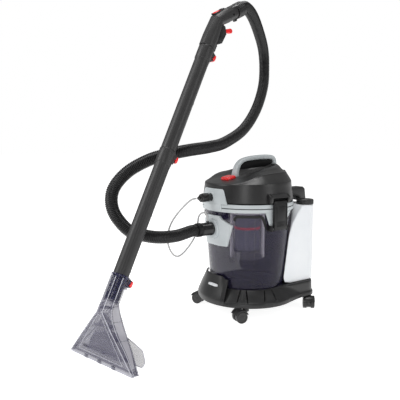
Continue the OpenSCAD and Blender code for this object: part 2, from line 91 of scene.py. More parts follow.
def even(pts, step):
    """The same line with its points an even distance apart."""
    total = sum((b - a).length for a, b in zip(pts, pts[1:]))
    n = max(2, round(total / step))
    out, want, run = [pts[0].copy()], total / n, 0.0
    for a, b in zip(pts, pts[1:]):
        d = (b - a).length
        while d > 0 and run + d >= want * len(out) - 1e-9 and len(out) < n:
            out.append(a.lerp(b, (want * len(out) - run) / d))
        run += d
    out.append(pts[-1].copy())
    return out, total


# ---- places of the wand and console
T, R = Matrix.Translation, Matrix.Rotation
# distances along the wand: its joints, and the bend between stem and grip
S_LOW, S_MID, S_TOP, BEND = 265.0, 654.0, 1010.0, 1108.5
NOZZLE_TURN, WAND_LEAN, GRIP_TILT, CONSOLE_TILT = 12, -28.4, -36.2, 11.6
STEM_FOOT = (0, -50.9, 0)
TUBE_R, COLLAR_R, SPIGOT_R, SOCKET_R, NECK_R = 23, 24.6, 20.3, 20.4, 25.8
# frames of the nozzle's mouth, the wand's stem, the grip and the head's console
IN_W = T((152, -645, 0)) @ R(rad(NOZZLE_TURN), 4, "Z")
IN_S = IN_W @ T(STEM_FOOT) @ R(rad(WAND_LEAN), 4, "X")
IN_G = IN_S @ T((0, 0, BEND)) @ R(rad(GRIP_TILT), 4, "X")
IN_C = T((0, -145, 456)) @ R(rad(CONSOLE_TILT), 4, "X")
ALONG_Y = R(rad(-90), 4, "X")
ALONG_X = R(rad(90), 4, "Y")
INLET_Z, CONN_Z = 303, 410
AT_INLET = T((0, 0, INLET_Z)) @ ALONG_Y
AT_CONN = T((0, 0, CONN_Z)) @ ALONG_Y


# ---- solids in millimetres
def lathe(prof, n=128, a0=0.0, a1=360.0, closed=False):
    full = a1 - a0 > 359.9
    k, m = (n if full else n + 1), len(prof)
    v = []
    for i in range(k):
        a = rad(a0 + (a1 - a0) * i / n)
        v += [(r * math.cos(a), r * math.sin(a), z) for r, z in prof]
    f = []
    for i in range(n):
        j = (i + 1) % k
        for p in range(m if closed else m - 1):
            q = (p + 1) % m
            f.append((i * m + p, j * m + p, j * m + q, i * m + q))
    if not full and closed:
        f += [tuple(range(m)), tuple(range((k - 1) * m, k * m))]
    return v, f


def rod(r, z0, z1, n=64, c=0.8):
    return lathe([(0, z0), (r - c, z0), (r - c * 0.3, z0 + c * 0.3), (r, z0 + c), (r, z1 - c),
                  (r - c * 0.3, z1 - c * 0.3), (r - c, z1), (0, z1)], n)


def ring(r0, r1, z0, z1, n=96, c=0.6):
    return lathe([(r0 + c, z0), (r1 - c, z0), (r1, z0 + c), (r1, z1 - c), (r1 - c, z1),
                  (r0 + c, z1), (r0, z1 - c), (r0, z0 + c)], n, closed=True)


def prism(poly, z0, z1, top=1.0):
    m = len(poly)
    v = [(x, y, z0) for x, y in poly] + [(x * top, y * top, z1) for x, y in poly]
    f = [tuple(range(m))[::-1], tuple(range(m, 2 * m))]
    f += [(i, (i + 1) % m, m + (i + 1) % m, m + i) for i in range(m)]
    return v, f


def along_x(poly, x0, x1):
    v, f = prism(poly, x0, x1)
    return [(z, x, y) for x, y, z in v], f


def along_y(poly, y0, y1):
    v, f = prism(poly, y0, y1)
    return [(x, z, y) for x, y, z in v], f


def polar(r, a, z):
    """The point at radius r and height z, a degrees round from the front towards +X."""
    return Vector((r * math.sin(rad(a)), -r * math.cos(rad(a)), z))


def circle(r, z, n):
    return [Vector((r * math.cos(2 * math.pi * i / n), r * math.sin(2 * math.pi * i / n), z))
            for i in range(n)]


def stack(levels, outline):
    """Rows of points: the outline at each inset, for (height, inset) in levels."""
    return [[Vector((x, y, z)) for x, y in outline(i)] for z, i in levels]


def block(x0, x1, y0, y1, z0, z1):
    return prism([(x0, y0), (x1, y0), (x1, y1), (x0, y1)], z0, z1)


def oval(a, b, n=48, e=2.0):
    """A superellipse outline of half sizes a and b. e 2 is an ellipse, 4 a soft rectangle."""
    out = []
    for i in range(n):
        c, s = math.cos(2 * math.pi * i / n), math.sin(2 * math.pi * i / n)
        out.append((a * abs(c) ** (2 / e) * (1 if c > 0 else -1),
                    b * abs(s) ** (2 / e) * (1 if s > 0 else -1)))
    return out


def skin(rows, wrap=True, ends=(True, True)):
    """A surface over rows of points, each row as long as the next."""
    m = len(rows[0])
    v = [tuple(p) for r in rows for p in r]
    f = [(i * m + j, (i + 1) * m + j, (i + 1) * m + (j + 1) % m, i * m + (j + 1) % m)
         for i in range(len(rows) - 1) for j in range(m if wrap else m - 1)]
    if ends[0]:
        f.append(tuple(range(m)))
    if ends[1]:
        f.append(tuple(range((len(rows) - 1) * m, len(rows) * m)))
    return v, f


def tube(path, r, sides=12, ends=(True, True), first=None, last=None):
    """A round tube along a line. r is a number or a function of the point's index."""
    p = [Vector(q) for q in path]
    t = [(p[min(len(p) - 1, i + 1)] - p[max(0, i - 1)]).normalized() for i in range(len(p))]
    if first is not None:
        t[0] = Vector(first).normalized()
    if last is not None:
        t[-1] = Vector(last).normalized()
    u = t[0].orthogonal().normalized()
    rows = []
    for i, q in enumerate(p):
        u = (u - t[i] * u.dot(t[i])).normalized()
        w = t[i].cross(u)
        k = r(i) if callable(r) else r
        rows.append([q + k * (math.cos(2 * math.pi * j / sides) * u
                              + math.sin(2 * math.pi * j / sides) * w) for j in range(sides)])
    return skin(rows, ends=ends)


def plate(zs, left, right, outer, inner, cols):
    """A curved plate: rows at zs, from x = left(z) to right(z), its two faces at y = outer(x, z)
    and inner(x, z)."""
    m = cols + 1
    v, f = [], []
    for face in (outer, inner):
        for z in zs:
            a, b = left(z), right(z)
            v += [(lerp(a, b, i / cols), face(lerp(a, b, i / cols), z), z) for i in range(m)]
    k = len(zs) * m
    for i in range(len(zs) - 1):
        for j in range(cols):
            a = i * m + j
            f += [(a, a + 1, a + m + 1, a + m), (k + a, k + a + m, k + a + m + 1, k + a + 1)]
        a = i * m
        f += [(a, a + m, k + a + m, k + a), (a + cols, k + a + cols, k + a + m + cols,
                                             a + m + cols)]
    e = (len(zs) - 1) * m
    for j in range(cols):
        f += [(j, k + j, k + j + 1, j + 1), (e + j, e + j + 1, k + e + j + 1, k + e + j)]
    return v, f


def bev(vf, w, seg=2, angle=28):
    """The same solid with its sharp edges rounded."""
    bm = bmesh.new()
    vs = [bm.verts.new(p) for p in vf[0]]
    for face in vf[1]:
        try:
            bm.faces.new([vs[i] for i in face])
        except ValueError:
            pass
    bmesh.ops.remove_doubles(bm, verts=bm.verts, dist=0.001)
    bmesh.ops.recalc_face_normals(bm, faces=bm.faces)
    edges = [e for e in bm.edges if len(e.link_faces) == 2 and e.calc_face_angle(0) > rad(angle)]
    bmesh.ops.bevel(bm, geom=edges, offset=w, offset_type="OFFSET", segments=seg, profile=0.5,
                    affect="EDGES", clamp_overlap=True)
    bm.verts.index_update()
    out = [tuple(x.co) for x in bm.verts], [tuple(x.index for x in face.verts)
                                            for face in bm.faces]
    bm.free()
    return out


def cad(node):
    """A CAD node's own shape, in millimetres, its flat faces whole again."""
    bm = bmesh.new()
    bm.from_mesh(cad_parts[node].data)
    bmesh.ops.scale(bm, vec=(1000, 1000, 1000), verts=bm.verts)
    bmesh.ops.remove_doubles(bm, verts=bm.verts, dist=0.02)
    bmesh.ops.dissolve_limit(bm, angle_limit=rad(1.5), verts=bm.verts, edges=bm.edges)
    bm.verts.index_update()
    out = [tuple(x.co) for x in bm.verts], [tuple(x.index for x in face.verts)
                                            for face in bm.faces]
    bm.free()
    return out


class Piece:
    """A named piece made of several closed shells, each with its own material."""

    def __init__(self, name):
        self.name, self.v, self.f, self.i, self.mats = name, [], [], [], []

    def add(self, vf, mat, m=None):
        base = len(self.v)
        self.v += [tuple(m @ Vector(p)) for p in vf[0]] if m else [tuple(p) for p in vf[0]]
        self.f += [tuple(base + i for i in face) for face in vf[1]]
        if mat not in self.mats:
            self.mats.append(mat)
        self.i += [self.mats.index(mat)] * len(vf[1])
        return self

    def box(self, span, w, mat, m=None):
        """A block over (x0, x1, y0, y1, z0, z1) with its edges rounded: w, or (w, segments)."""
        return self.add(bev(block(*span), *(w if isinstance(w, tuple) else (w,))), mat, m)

    def done(self, body, nodes=(), slot=None, angle=32, change=None):
        me = bpy.data.meshes.new(self.name)
        me.from_pydata([(x * MM, y * MM, z * MM) for x, y, z in self.v], [], self.f)
        for m in self.mats:
            me.materials.append(m)
        me.polygons.foreach_set("material_index", self.i)
        bm = bmesh.new()
        bm.from_mesh(me)
        bmesh.ops.remove_doubles(bm, verts=bm.verts, dist=2e-6)
        bmesh.ops.recalc_face_normals(bm, faces=bm.faces)
        bm.to_mesh(me)
        bm.free()
        o = bpy.data.objects.new(self.name, me)
        sc.collection.objects.link(o)
        if change:
            change(o)
            dg = bpy.context.evaluated_depsgraph_get()
            fresh = bpy.data.meshes.new_from_object(o.evaluated_get(dg))
            o.modifiers.clear()
            o.data = fresh
        o.data.shade_smooth()
        o.data.set_sharp_from_angle(angle=rad(angle))
        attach(o, body)
        if nodes:
            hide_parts(*nodes)
        return o


def rounded(node, name, w, mat, body, slot, seg=2, from_angle=28, angle=32):
    """A CAD node's own shape with its edges rounded by w, as a piece."""
    return Piece(name).add(bev(cad(node), w, seg, from_angle), mat).done(body, [node], slot, angle)


# ---- materials
def base_material(name):
    m = bpy.data.materials.new(name)
    m.use_nodes = True
    nt = m.node_tree
    p = next(n for n in nt.nodes if n.type == "BSDF_PRINCIPLED")
    tc = nt.nodes.new("ShaderNodeTexCoord")
    return m, nt, p, tc.outputs["Object"]


def noise(nt, at, scale, detail=3.0, rough=0.55, stretch=None):
    n = nt.nodes.new("ShaderNodeTexNoise")
    n.inputs["Scale"].default_value = scale
    n.inputs["Detail"].default_value = detail
    n.inputs["Roughness"].default_value = rough
    if stretch:
        mp = nt.nodes.new("ShaderNodeMapping")
        mp.inputs["Scale"].default_value = stretch
        nt.links.new(at, mp.inputs["Vector"])
        at = mp.outputs["Vector"]
    nt.links.new(at, n.inputs["Vector"])
    return n.outputs["Fac"]


def ramp(nt, value, stops):
    r = nt.nodes.new("ShaderNodeValToRGB")
    el = r.color_ramp.elements
    while len(el) < len(stops):
        el.new(0.5)
    for e, (pos, col) in zip(el, stops):
        e.position = pos
        e.color = (*col, 1) if len(col) == 3 else col
    nt.links.new(value, r.inputs["Fac"])
    return r.outputs["Color"]


def spread(nt, value, lo, hi, a=0.3, b=0.7):
    r = nt.nodes.new("ShaderNodeMapRange")
    for k, x in (("From Min", a), ("From Max", b), ("To Min", lo), ("To Max", hi)):
        r.inputs[k].default_value = x
    nt.links.new(value, r.inputs["Value"])
    return r.outputs["Result"]


def bump(nt, p, heights):
    """Bumps laid on each other: (height, strength, distance in metres)."""
    last = None
    for h, strength, dist in heights:
        b = nt.nodes.new("ShaderNodeBump")
        b.inputs["Strength"].default_value = strength
        b.inputs["Distance"].default_value = dist
        nt.links.new(h, b.inputs["Height"])
        if last:
            nt.links.new(last, b.inputs["Normal"])
        last = b.outputs["Normal"]
    nt.links.new(last, p.inputs["Normal"])


def moulded(name, dark, light, rough=(0.3, 0.45), grain=900, depth=0.00012, strength=0.35,
            coat=0.0, spec=0.5, alpha=1.0, scuff=0.0, wave=0.0, sss=0.0, glow=None, rim=None):
    """Moulded plastic: slight colour drift, uneven gloss, fine grain, and faint handling marks. A
    glow, when given, is painted light: the part gives off light though it is no lamp.
    """
    m, nt, p, at = base_material(name)
    big = noise(nt, at, 9, 4)
    nt.links.new(ramp(nt, big, [(0.3, dark), (0.7, light)]), p.inputs["Base Color"])
    mid = noise(nt, at, 55, 5, 0.65)
    value = spread(nt, mid, rough[0], rough[1])
    if scuff:
        marks = noise(nt, at, 60, 5, 0.6, (1, 0.4, 1.8))
        s = spread(nt, marks, 0.0, scuff, 0.6, 0.8)
        add = nt.nodes.new("ShaderNodeMath")
        add.operation = "ADD"
        nt.links.new(value, add.inputs[0])
        nt.links.new(s, add.inputs[1])
        value = add.outputs[0]
    nt.links.new(value, p.inputs["Roughness"])
    layers = [(noise(nt, at, grain * 0.6, 2, 0.5), strength * 0.35, depth)]
    if wave:
        layers.append((noise(nt, at, 28, 2, 0.4), 0.5, wave))
    bump(nt, p, layers)
    p.inputs["Specular IOR Level"].default_value = spec
    if coat:
        p.inputs["Coat Weight"].default_value = coat
        p.inputs["Coat Roughness"].default_value = 0.08
    if alpha < 1:
        p.inputs["Alpha"].default_value = alpha
    if rim:
        # clear wall: seen face on it lets light through, seen edge on it is dense
        lw = nt.nodes.new("ShaderNodeLayerWeight")
        lw.inputs["Blend"].default_value = 0.5
        nt.links.new(spread(nt, lw.outputs["Facing"], rim[0], rim[1], 0.45, 0.85),
                     p.inputs["Alpha"])
    # painted glow: emission on a part that is no lamp
    if glow:
        p.inputs["Emission Color"].default_value = (*glow[:3], 1)
        p.inputs["Emission Strength"].default_value = glow[3]
        m.cycles.emission_sampling = "NONE"
    if sss:
        p.inputs["Subsurface Weight"].default_value = sss
        p.inputs["Subsurface Radius"].default_value = (0.02, 0.02, 0.022)
        p.inputs["Subsurface Scale"].default_value = 0.5
    return m


def metal(name, a, b, rough=(0.25, 0.4), stretch=(1, 1, 14)):
    m, nt, p, at = base_material(name)
    lines = noise(nt, at, 160, 4, 0.6, stretch)
    nt.links.new(ramp(nt, lines, [(0.35, a), (0.65, b)]), p.inputs["Base Color"])
    nt.links.new(spread(nt, lines, *rough), p.inputs["Roughness"])
    bump(nt, p, [(lines, 0.2, 0.00008)])
    p.inputs["Metallic"].default_value = 1.0
    return m


def paper(name):
    m, nt, p, at = base_material(name)
    fibre = noise(nt, at, 700, 6, 0.7, (1, 1, 0.35))
    stain = noise(nt, at, 40, 4, 0.6)
    both = nt.nodes.new("ShaderNodeMath")
    both.operation = "MULTIPLY"
    nt.links.new(fibre, both.inputs[0])
    nt.links.new(stain, both.inputs[1])
    nt.links.new(ramp(nt, both.outputs[0], [(0.12, (0.16, 0.16, 0.2)), (0.4, (0.3, 0.3, 0.36))]),
                 p.inputs["Base Color"])
    nt.links.new(spread(nt, fibre, 0.8, 0.95), p.inputs["Roughness"])
    bump(nt, p, [(fibre, 0.6, 0.0003)])
    # the paper is given a faint lilac glow: painted light
    p.inputs["Emission Color"].default_value = (0.42, 0.42, 0.7, 1)
    p.inputs["Emission Strength"].default_value = 0.16
    return m


# thin see-through mouldings share a very fine grain
THIN = dict(depth=0.00001, strength=0.08, scuff=0.05)
BLACK = moulded("black_grained", (0.009, 0.0088, 0.0092), (0.013, 0.0128, 0.0133), (0.30, 0.38),
                1500, 0.00004, 0.22, scuff=0.05)
BASEBLACK = moulded("black_base", (0.007, 0.007, 0.0075), (0.0105, 0.0105, 0.011), (0.33, 0.42),
                    1100, 0.00005, 0.25, scuff=0.06)
GLOSS = moulded("black_gloss", (0.004, 0.004, 0.0045), (0.006, 0.006, 0.0065), (0.2, 0.28), 1300,
                0.00002, 0.15, scuff=0.04)
LATCH = moulded("black_latch", (0.005, 0.005, 0.0056), (0.0075, 0.0075, 0.0082), (0.34, 0.42),
                1300, 0.00003, 0.2, scuff=0.05, spec=0.3)
WAND = moulded("black_wand", (0.012, 0.0115, 0.012), (0.0155, 0.015, 0.0155), (0.40, 0.46), 1300,
               0.00002, 0.12, scuff=0.04)
# near-black: the own colour of dark inner parts, and painted shade where it fills gaps, grooves
# and slots
BLACK_AND_PAINTED_SHADE = moulded("black_deep_and_painted_shade", (0.0015, 0.0015, 0.0018), (0.0025, 0.0025, 0.003), (0.6, 0.75), 900,
               spec=0.2)
HOSE = moulded("hose_black", (0.0035, 0.0035, 0.004), (0.006, 0.006, 0.0065), (0.28, 0.36), 700,
               0.00003, 0.2, scuff=0.05, spec=0.32)
RUBBER = moulded("wheel_rubber", (0.010, 0.010, 0.0105), (0.016, 0.0155, 0.0155), (0.34, 0.46),
                 600, 0.00008, 0.3, scuff=0.1)
GREY = moulded("light_grey", (0.42, 0.455, 0.47), (0.47, 0.50, 0.51), (0.3, 0.4), 1300, 0.00004,
               0.2, scuff=0.05)
HANDLEGREY = moulded("handle_grey", (0.37, 0.40, 0.415), (0.41, 0.44, 0.45), (0.34, 0.44), 1300,
                     0.00005, 0.25, scuff=0.06)
RED = moulded("red_gloss", (0.70, 0.006, 0.008), (0.82, 0.010, 0.012), (0.16, 0.26), 900, 0.00003,
              0.12, coat=0.4, scuff=0.04)
# the red band glows: painted light, so it shows bright through the smoky drum
RED_PAINTED_GLOW = moulded("red_band_painted_glow", (0.7, 0.006, 0.03), (0.85, 0.01, 0.04), (0.35, 0.5), 900, glow=(1,
                  0.03, 0.08, 0.5))
MILK = moulded("milky_white", (0.74, 0.765, 0.79), (0.80, 0.82, 0.84), (0.3, 0.42), 500, 0.00008,
               0.15, wave=0.0010, sss=0.15)
SMOKE = moulded("smoky_drum", (0.012, 0.010, 0.028), (0.020, 0.017, 0.040), (0.05, 0.09), 400,
                alpha=0.56, **THIN, spec=0.3)
SMOKEDARK = moulded("smoky_thick", (0.008, 0.007, 0.014), (0.013, 0.011, 0.022), (0.1, 0.18), 400,
                    0.00002, 0.1, alpha=0.88, scuff=0.05)
NOZ = moulded("smoky_nozzle", (0.10, 0.096, 0.15), (0.125, 0.12, 0.175), (0.08, 0.14), 400,
              alpha=0.42, **THIN)
NOZNECK = moulded("smoky_neck", (0.015, 0.016, 0.05), (0.025, 0.026, 0.07), (0.08, 0.14), 400,
                  alpha=0.38, **THIN)
# pale, denser edge colour for lines along the nozzle's ridges and rims: painted highlights
NOZ_EDGE_HIGHLIGHT = moulded("nozzle_edge_painted_highlight", (0.5, 0.5, 0.56), (0.6, 0.6, 0.66), (0.1, 0.2), 500,
                  alpha=0.7, **THIN)
# pale band colour for the nozzle's flank: painted highlight
NOZ_FLANK_HIGHLIGHT = moulded("nozzle_flank_painted_highlight", (0.50, 0.49, 0.54), (0.62, 0.61, 0.66), (0.1, 0.2), 500,
                  alpha=0.45, **THIN)
NOZDARK = moulded("smoky_nozzle_dark", (0.028, 0.026, 0.07), (0.045, 0.042, 0.095), (0.1, 0.18),
                  500, alpha=0.5, **THIN)
CLEAR = moulded("clear_plastic", (0.26, 0.25, 0.27), (0.30, 0.29, 0.31), (0.06, 0.14), 500,
                alpha=0.42, **THIN)
LINE = moulded("clear_tube", (0.40, 0.40, 0.40), (0.48, 0.48, 0.48), (0.12, 0.2), 600, 0.00002,
               0.1, scuff=0.05)
# the basket glows, most where its wall is seen edge on: painted highlights, pale bands down its
# two sides
BASKET_PAINTED_HIGHLIGHT = moulded("pale_basket_painted_highlight", (0.66, 0.63, 0.70), (0.76, 0.73, 0.80), (0.12, 0.2), 500,
                 alpha=0.5, **THIN, glow=(0.86, 0.82, 0.92, 0.9), rim=(0.05, 0.8))
PAPER_PAINTED_GLOW = paper("filter_paper")
STEEL = metal("steel", (0.42, 0.42, 0.43), (0.6, 0.6, 0.61))
ALU = metal("aluminium", (0.6, 0.61, 0.62), (0.78, 0.78, 0.79), (0.2, 0.35), (14, 14, 1))
FLOAT = moulded("float_orange", (0.55, 0.2, 0.03), (0.68, 0.27, 0.05), (0.45, 0.6), 700)
BADGE = moulded("badge_grey", (0.55, 0.56, 0.58), (0.66, 0.67, 0.69), (0.22, 0.32), 900,
                0.00005, 0.2)

# ---- cords
HOSE_ROUTE = [[0, -222, 303], [1, -242, 303], [14, -282, 300], [32, -324, 300], [40, -380, 303],
              [36, -430, 312], [22, -484, 332], [-2, -522, 390], [-10, -520, 452],
              [-2, -476, 506], [20, -410, 544], [38, -340, 562], [44, -276, 572],
              [26, -186, 580], [-15, -92, 593], [-75, 38, 637], [-116, 132, 710],
              [-139, 186, 795], [-147, 200, 868], [-128, 176, 940], [-66, 95, 995],
              [-10, 18, 1029], [20, -36, 1041], [27.4, -58.9, 1033]]
LINE_ROUTE = [[0, -222, 410], [0, -247, 404], [-10, -287, 366], [-17, -314, 324],
              [-16, -324, 276], [-10, -312, 236], [-12, -286, 221], [-22, -248, 236],
              [-29, -210, 272], [-31, -196, 310], [-22, -196, 345], [-4, -190, 360],
              [0, -177, 350], [0, -175, 330]]


def cords():
    # corrugated hose: five rings to each rib, the crest rounder than the groove
    fine = catmull(HOSE_ROUTE, 16)
    total = sum((b - a).length for a, b in zip(fine, fine[1:]))
    ribs = round(total / 5.4)
    path, total = even(fine, total / (ribs * 5) + 1e-6)
    wave = [18.3, 19.5, 20.0, 19.9, 19.2]
    o = Piece("suction_hose").add(tube(
        path, lambda i: wave[i % 5] if 2 < i < len(path) - 3 else 18.6, 28,
        first=(0, -1, 0), last=(0.188, -0.883, -0.429)), HOSE)
    hose = o.done("machine", ["hose"], "hose_black", angle=60)
    path, total = even(catmull(LINE_ROUTE, 12), 5.0)
    line = Piece("solution_line").add(tube(path, 3.0, 16, first=(0, -1, 0), last=(0, 0, -1)), LINE)
    line = line.done("machine", ["solution_tube"], "clear_plastic", angle=60)
    [tuple(p * MM) for p in path]


cords()


# ---- base
DRUM_FOOT_Z, DRUM_TOP_Z, DRUM_FOOT_R, DRUM_TOP_R = 88, 364, 131, 152
RING_R = 160


def drum_r(z):
    """Outer radius of the drum at height z."""
    rise = (z - DRUM_FOOT_Z) / (DRUM_TOP_Z - DRUM_FOOT_Z)
    return DRUM_FOOT_R + (DRUM_TOP_R - DRUM_FOOT_R) * rise


def round_face(r):
    """The front of a cylinder of radius r, as plate() wants it."""
    return lambda x, z: -math.sqrt(r ** 2 - x * x)


def bump_line(a, at, w):
    """1 on a line at angle `at`, falling to 0 at w degrees either side."""
    return max(0.0, 1 - abs(a - at) / w)


def soft_box(a, b, r, n=14):
    """A rectangle outline of half sizes a and b with its corners rounded by r."""
    out = []
    for cx, cy, at in ((a - r, b - r, 0), (r - a, b - r, 90), (r - a, r - b, 180),
                       (a - r, r - b, 270)):
        for i in range(n + 1):
            q = rad(at + 90.0 * i / n)
            out.append((cx + r * math.cos(q), cy + r * math.sin(q)))
    return out


def base():
    p = Piece("base_moulding")
    prof = [(168, 46.2), (170.6, 46), (172, 47.6), (172, 58.5), (170.8, 61.5), (168.6, 63.6),
            (166, 66), (163, 70),
            (160.2, 73.5), (157.5, 77), (154.7, 80.8), (152, 84.6), (149.2, 88), (146.5, 91),
            (143.7, 94.2), (141, 97.2), (138.6, 99.6), (136.4, 100.4),
            (134.9, 99.4), (134.4, 96), (134.4, 87.8), (70, 87.8), (0.01, 87.8), (0.01, 84),
            (146, 84), (154, 74), (161, 64), (168, 57)]
    v, f = lathe(prof, 720, closed=True)
    out = []
    for x, y, z in v:
        r = math.hypot(x, y)
        a = math.degrees(math.atan2(x, -y))
        if r > 138 and 62 < z < 101:
            t = (z - 64) / 36
            dent = 0.0
            for side in (-1, 1):
                for top, low in ((41.4, 38.4), (49.4, 52.2), (75.2, 70.4), (86.6, 87.8)):
                    line = side * lerp(low, top, t ** 0.7)
                    dent = max(dent, ease(bump_line(a, line, 0.9)))
            dent *= ease((z - 64) / 4) * ease((98.5 - z) / 2)
            emb = math.hypot((abs(a) - 45) / 1.1, (z - 79) / 11)
            d = -6.0 * dent + 1.3 * ease((1 - emb) * 2.2)
            k = 1 + d / r
            x, y, z = x * k, y * k, z + d * 0.45
        out.append((x, y, z))
    p.add((out, f), BASEBLACK)
    # rear platform: a soft box whose top edge is rounded, open to the drum
    rows = stack([(46, -3.6), (47, -4.4), (57.5, -4.4), (59.5, -3.4), (62.5, -1.2), (66, -0.3),
                  (72, 0), (92, 0.6), (96.4, 1.2), (98.8, 2.6), (99.8, 5)],
                 lambda i: [(x, 116 + y) for x, y in soft_box(138 - i, 100 - i, 46 - i)])
    p.add(skin(rows, ends=(False, True)), BASEBLACK)
    # webs that carry the skirt's lip over to the platform
    for s in (-1, 1):
        rows = []
        for z, r in ((46, 170), (47, 171.8), (58.5, 171.8), (61.5, 170.6), (66, 165.8),
                     (73.5, 160), (80.8, 154.5),
                     (88, 149), (94.2, 143.5), (97.5, 140.6)):
            wide = 138 + (4.2 if z < 59 else 0)
            meet = math.sqrt(max(1, r * r - wide * wide))
            y0, y2 = meet * 0.5, meet + 42
            x0 = math.sqrt(r * r - y0 * y0) - 0.2
            yc = min(y2 - 8, (r * r - wide * x0) / y0)
            row = [(x0 * (1 - u) ** 2 + wide * 2 * u * (1 - u) + wide * u * u,
                    y0 * (1 - u) ** 2 + yc * 2 * u * (1 - u) + y2 * u * u)
                   for u in [i / 14.0 for i in range(15)]]
            row += [(118, y2), (118, y0)]
            rows.append([Vector((s * x, y, z)) for x, y in row])
        p.add(skin(rows), BASEBLACK)
    for x, y in ((120, -104), (-120, -104), (122, 188), (-122, 188)):
        p.add(ring(5.1, 10.8, 45.4, 66, 40, 0.8), BASEBLACK, T((x, y, 0)))
    p.done("machine", ["base_pan"], "black_plastic", angle=38)

    # front cowl: a raised shield whose top edge steps down to the right
    rows = []
    n = 96
    for i in range(n + 1):
        a = -52 + 76 * i / n
        end = ease(min(i, n - i) / 7)
        drop = 10 * ease((a - 13) / 8) + 6 * ease((-26 - a) / 14)
        row = []
        for r, z in ((172.2, 52), (175.2, 52), (176, 54), (176, 64), (174.4, 70), (168, 85),
                     (161, 102), (154.6, 118), (150.2, 130), (147, 138), (145.3, 141.2),
                     (143.4, 142),
                     (141.4, 140.6), (141.2, 136), (156, 100), (172.2, 66)):
            z2 = z - (drop * ease((z - 90) / 50))
            k = lerp(0.986, 1, end) if r > 150 else 1
            row.append(polar(r * k, a, z2))
        rows.append(row)
    Piece("front_cowl").add(skin(rows), BASEBLACK).done("machine", ["base_cowl"], "black_plastic",
                                                         angle=40)
    m = R(rad(3.5), 4, "Z") @ T((0, -157.6, 110)) @ R(rad(68), 4, "X")
    rows = stack([(-1, 0), (2.6, 0), (3.3, 0.5), (3.5, 1.1)],
                 lambda i: oval(23 - i, 5 - i, 64, 3.4))
    Piece("plain_badge").add(skin(rows), BADGE, m).done("machine", ["badge"], "grey_plastic")


# ---- drum and what it carries
def strip(path, half, lift, thick):
    """A raised band on the drum's outside along (angle, height) points."""
    pts = [Vector((a, z, 0)) for a, z in path]
    fine = catmull(pts, 6)
    rows = []
    for i, q in enumerate(fine):
        d = fine[min(len(fine) - 1, i + 1)] - fine[max(0, i - 1)]
        d = Vector((d.x * 2.6, d.y, 0)).normalized()
        n = Vector((-d.y / 2.6, d.x, 0))
        row = []
        for s, h in ((-1, lift), (-1, lift + thick * 0.6), (-0.8, lift + thick),
                     (0.8, lift + thick),
                     (1, lift + thick * 0.6), (1, lift)):
            c = q + n * half * s
            row.append(polar(drum_r(c.y) + h, c.x, c.y))
        rows.append(row)
    return skin(rows)


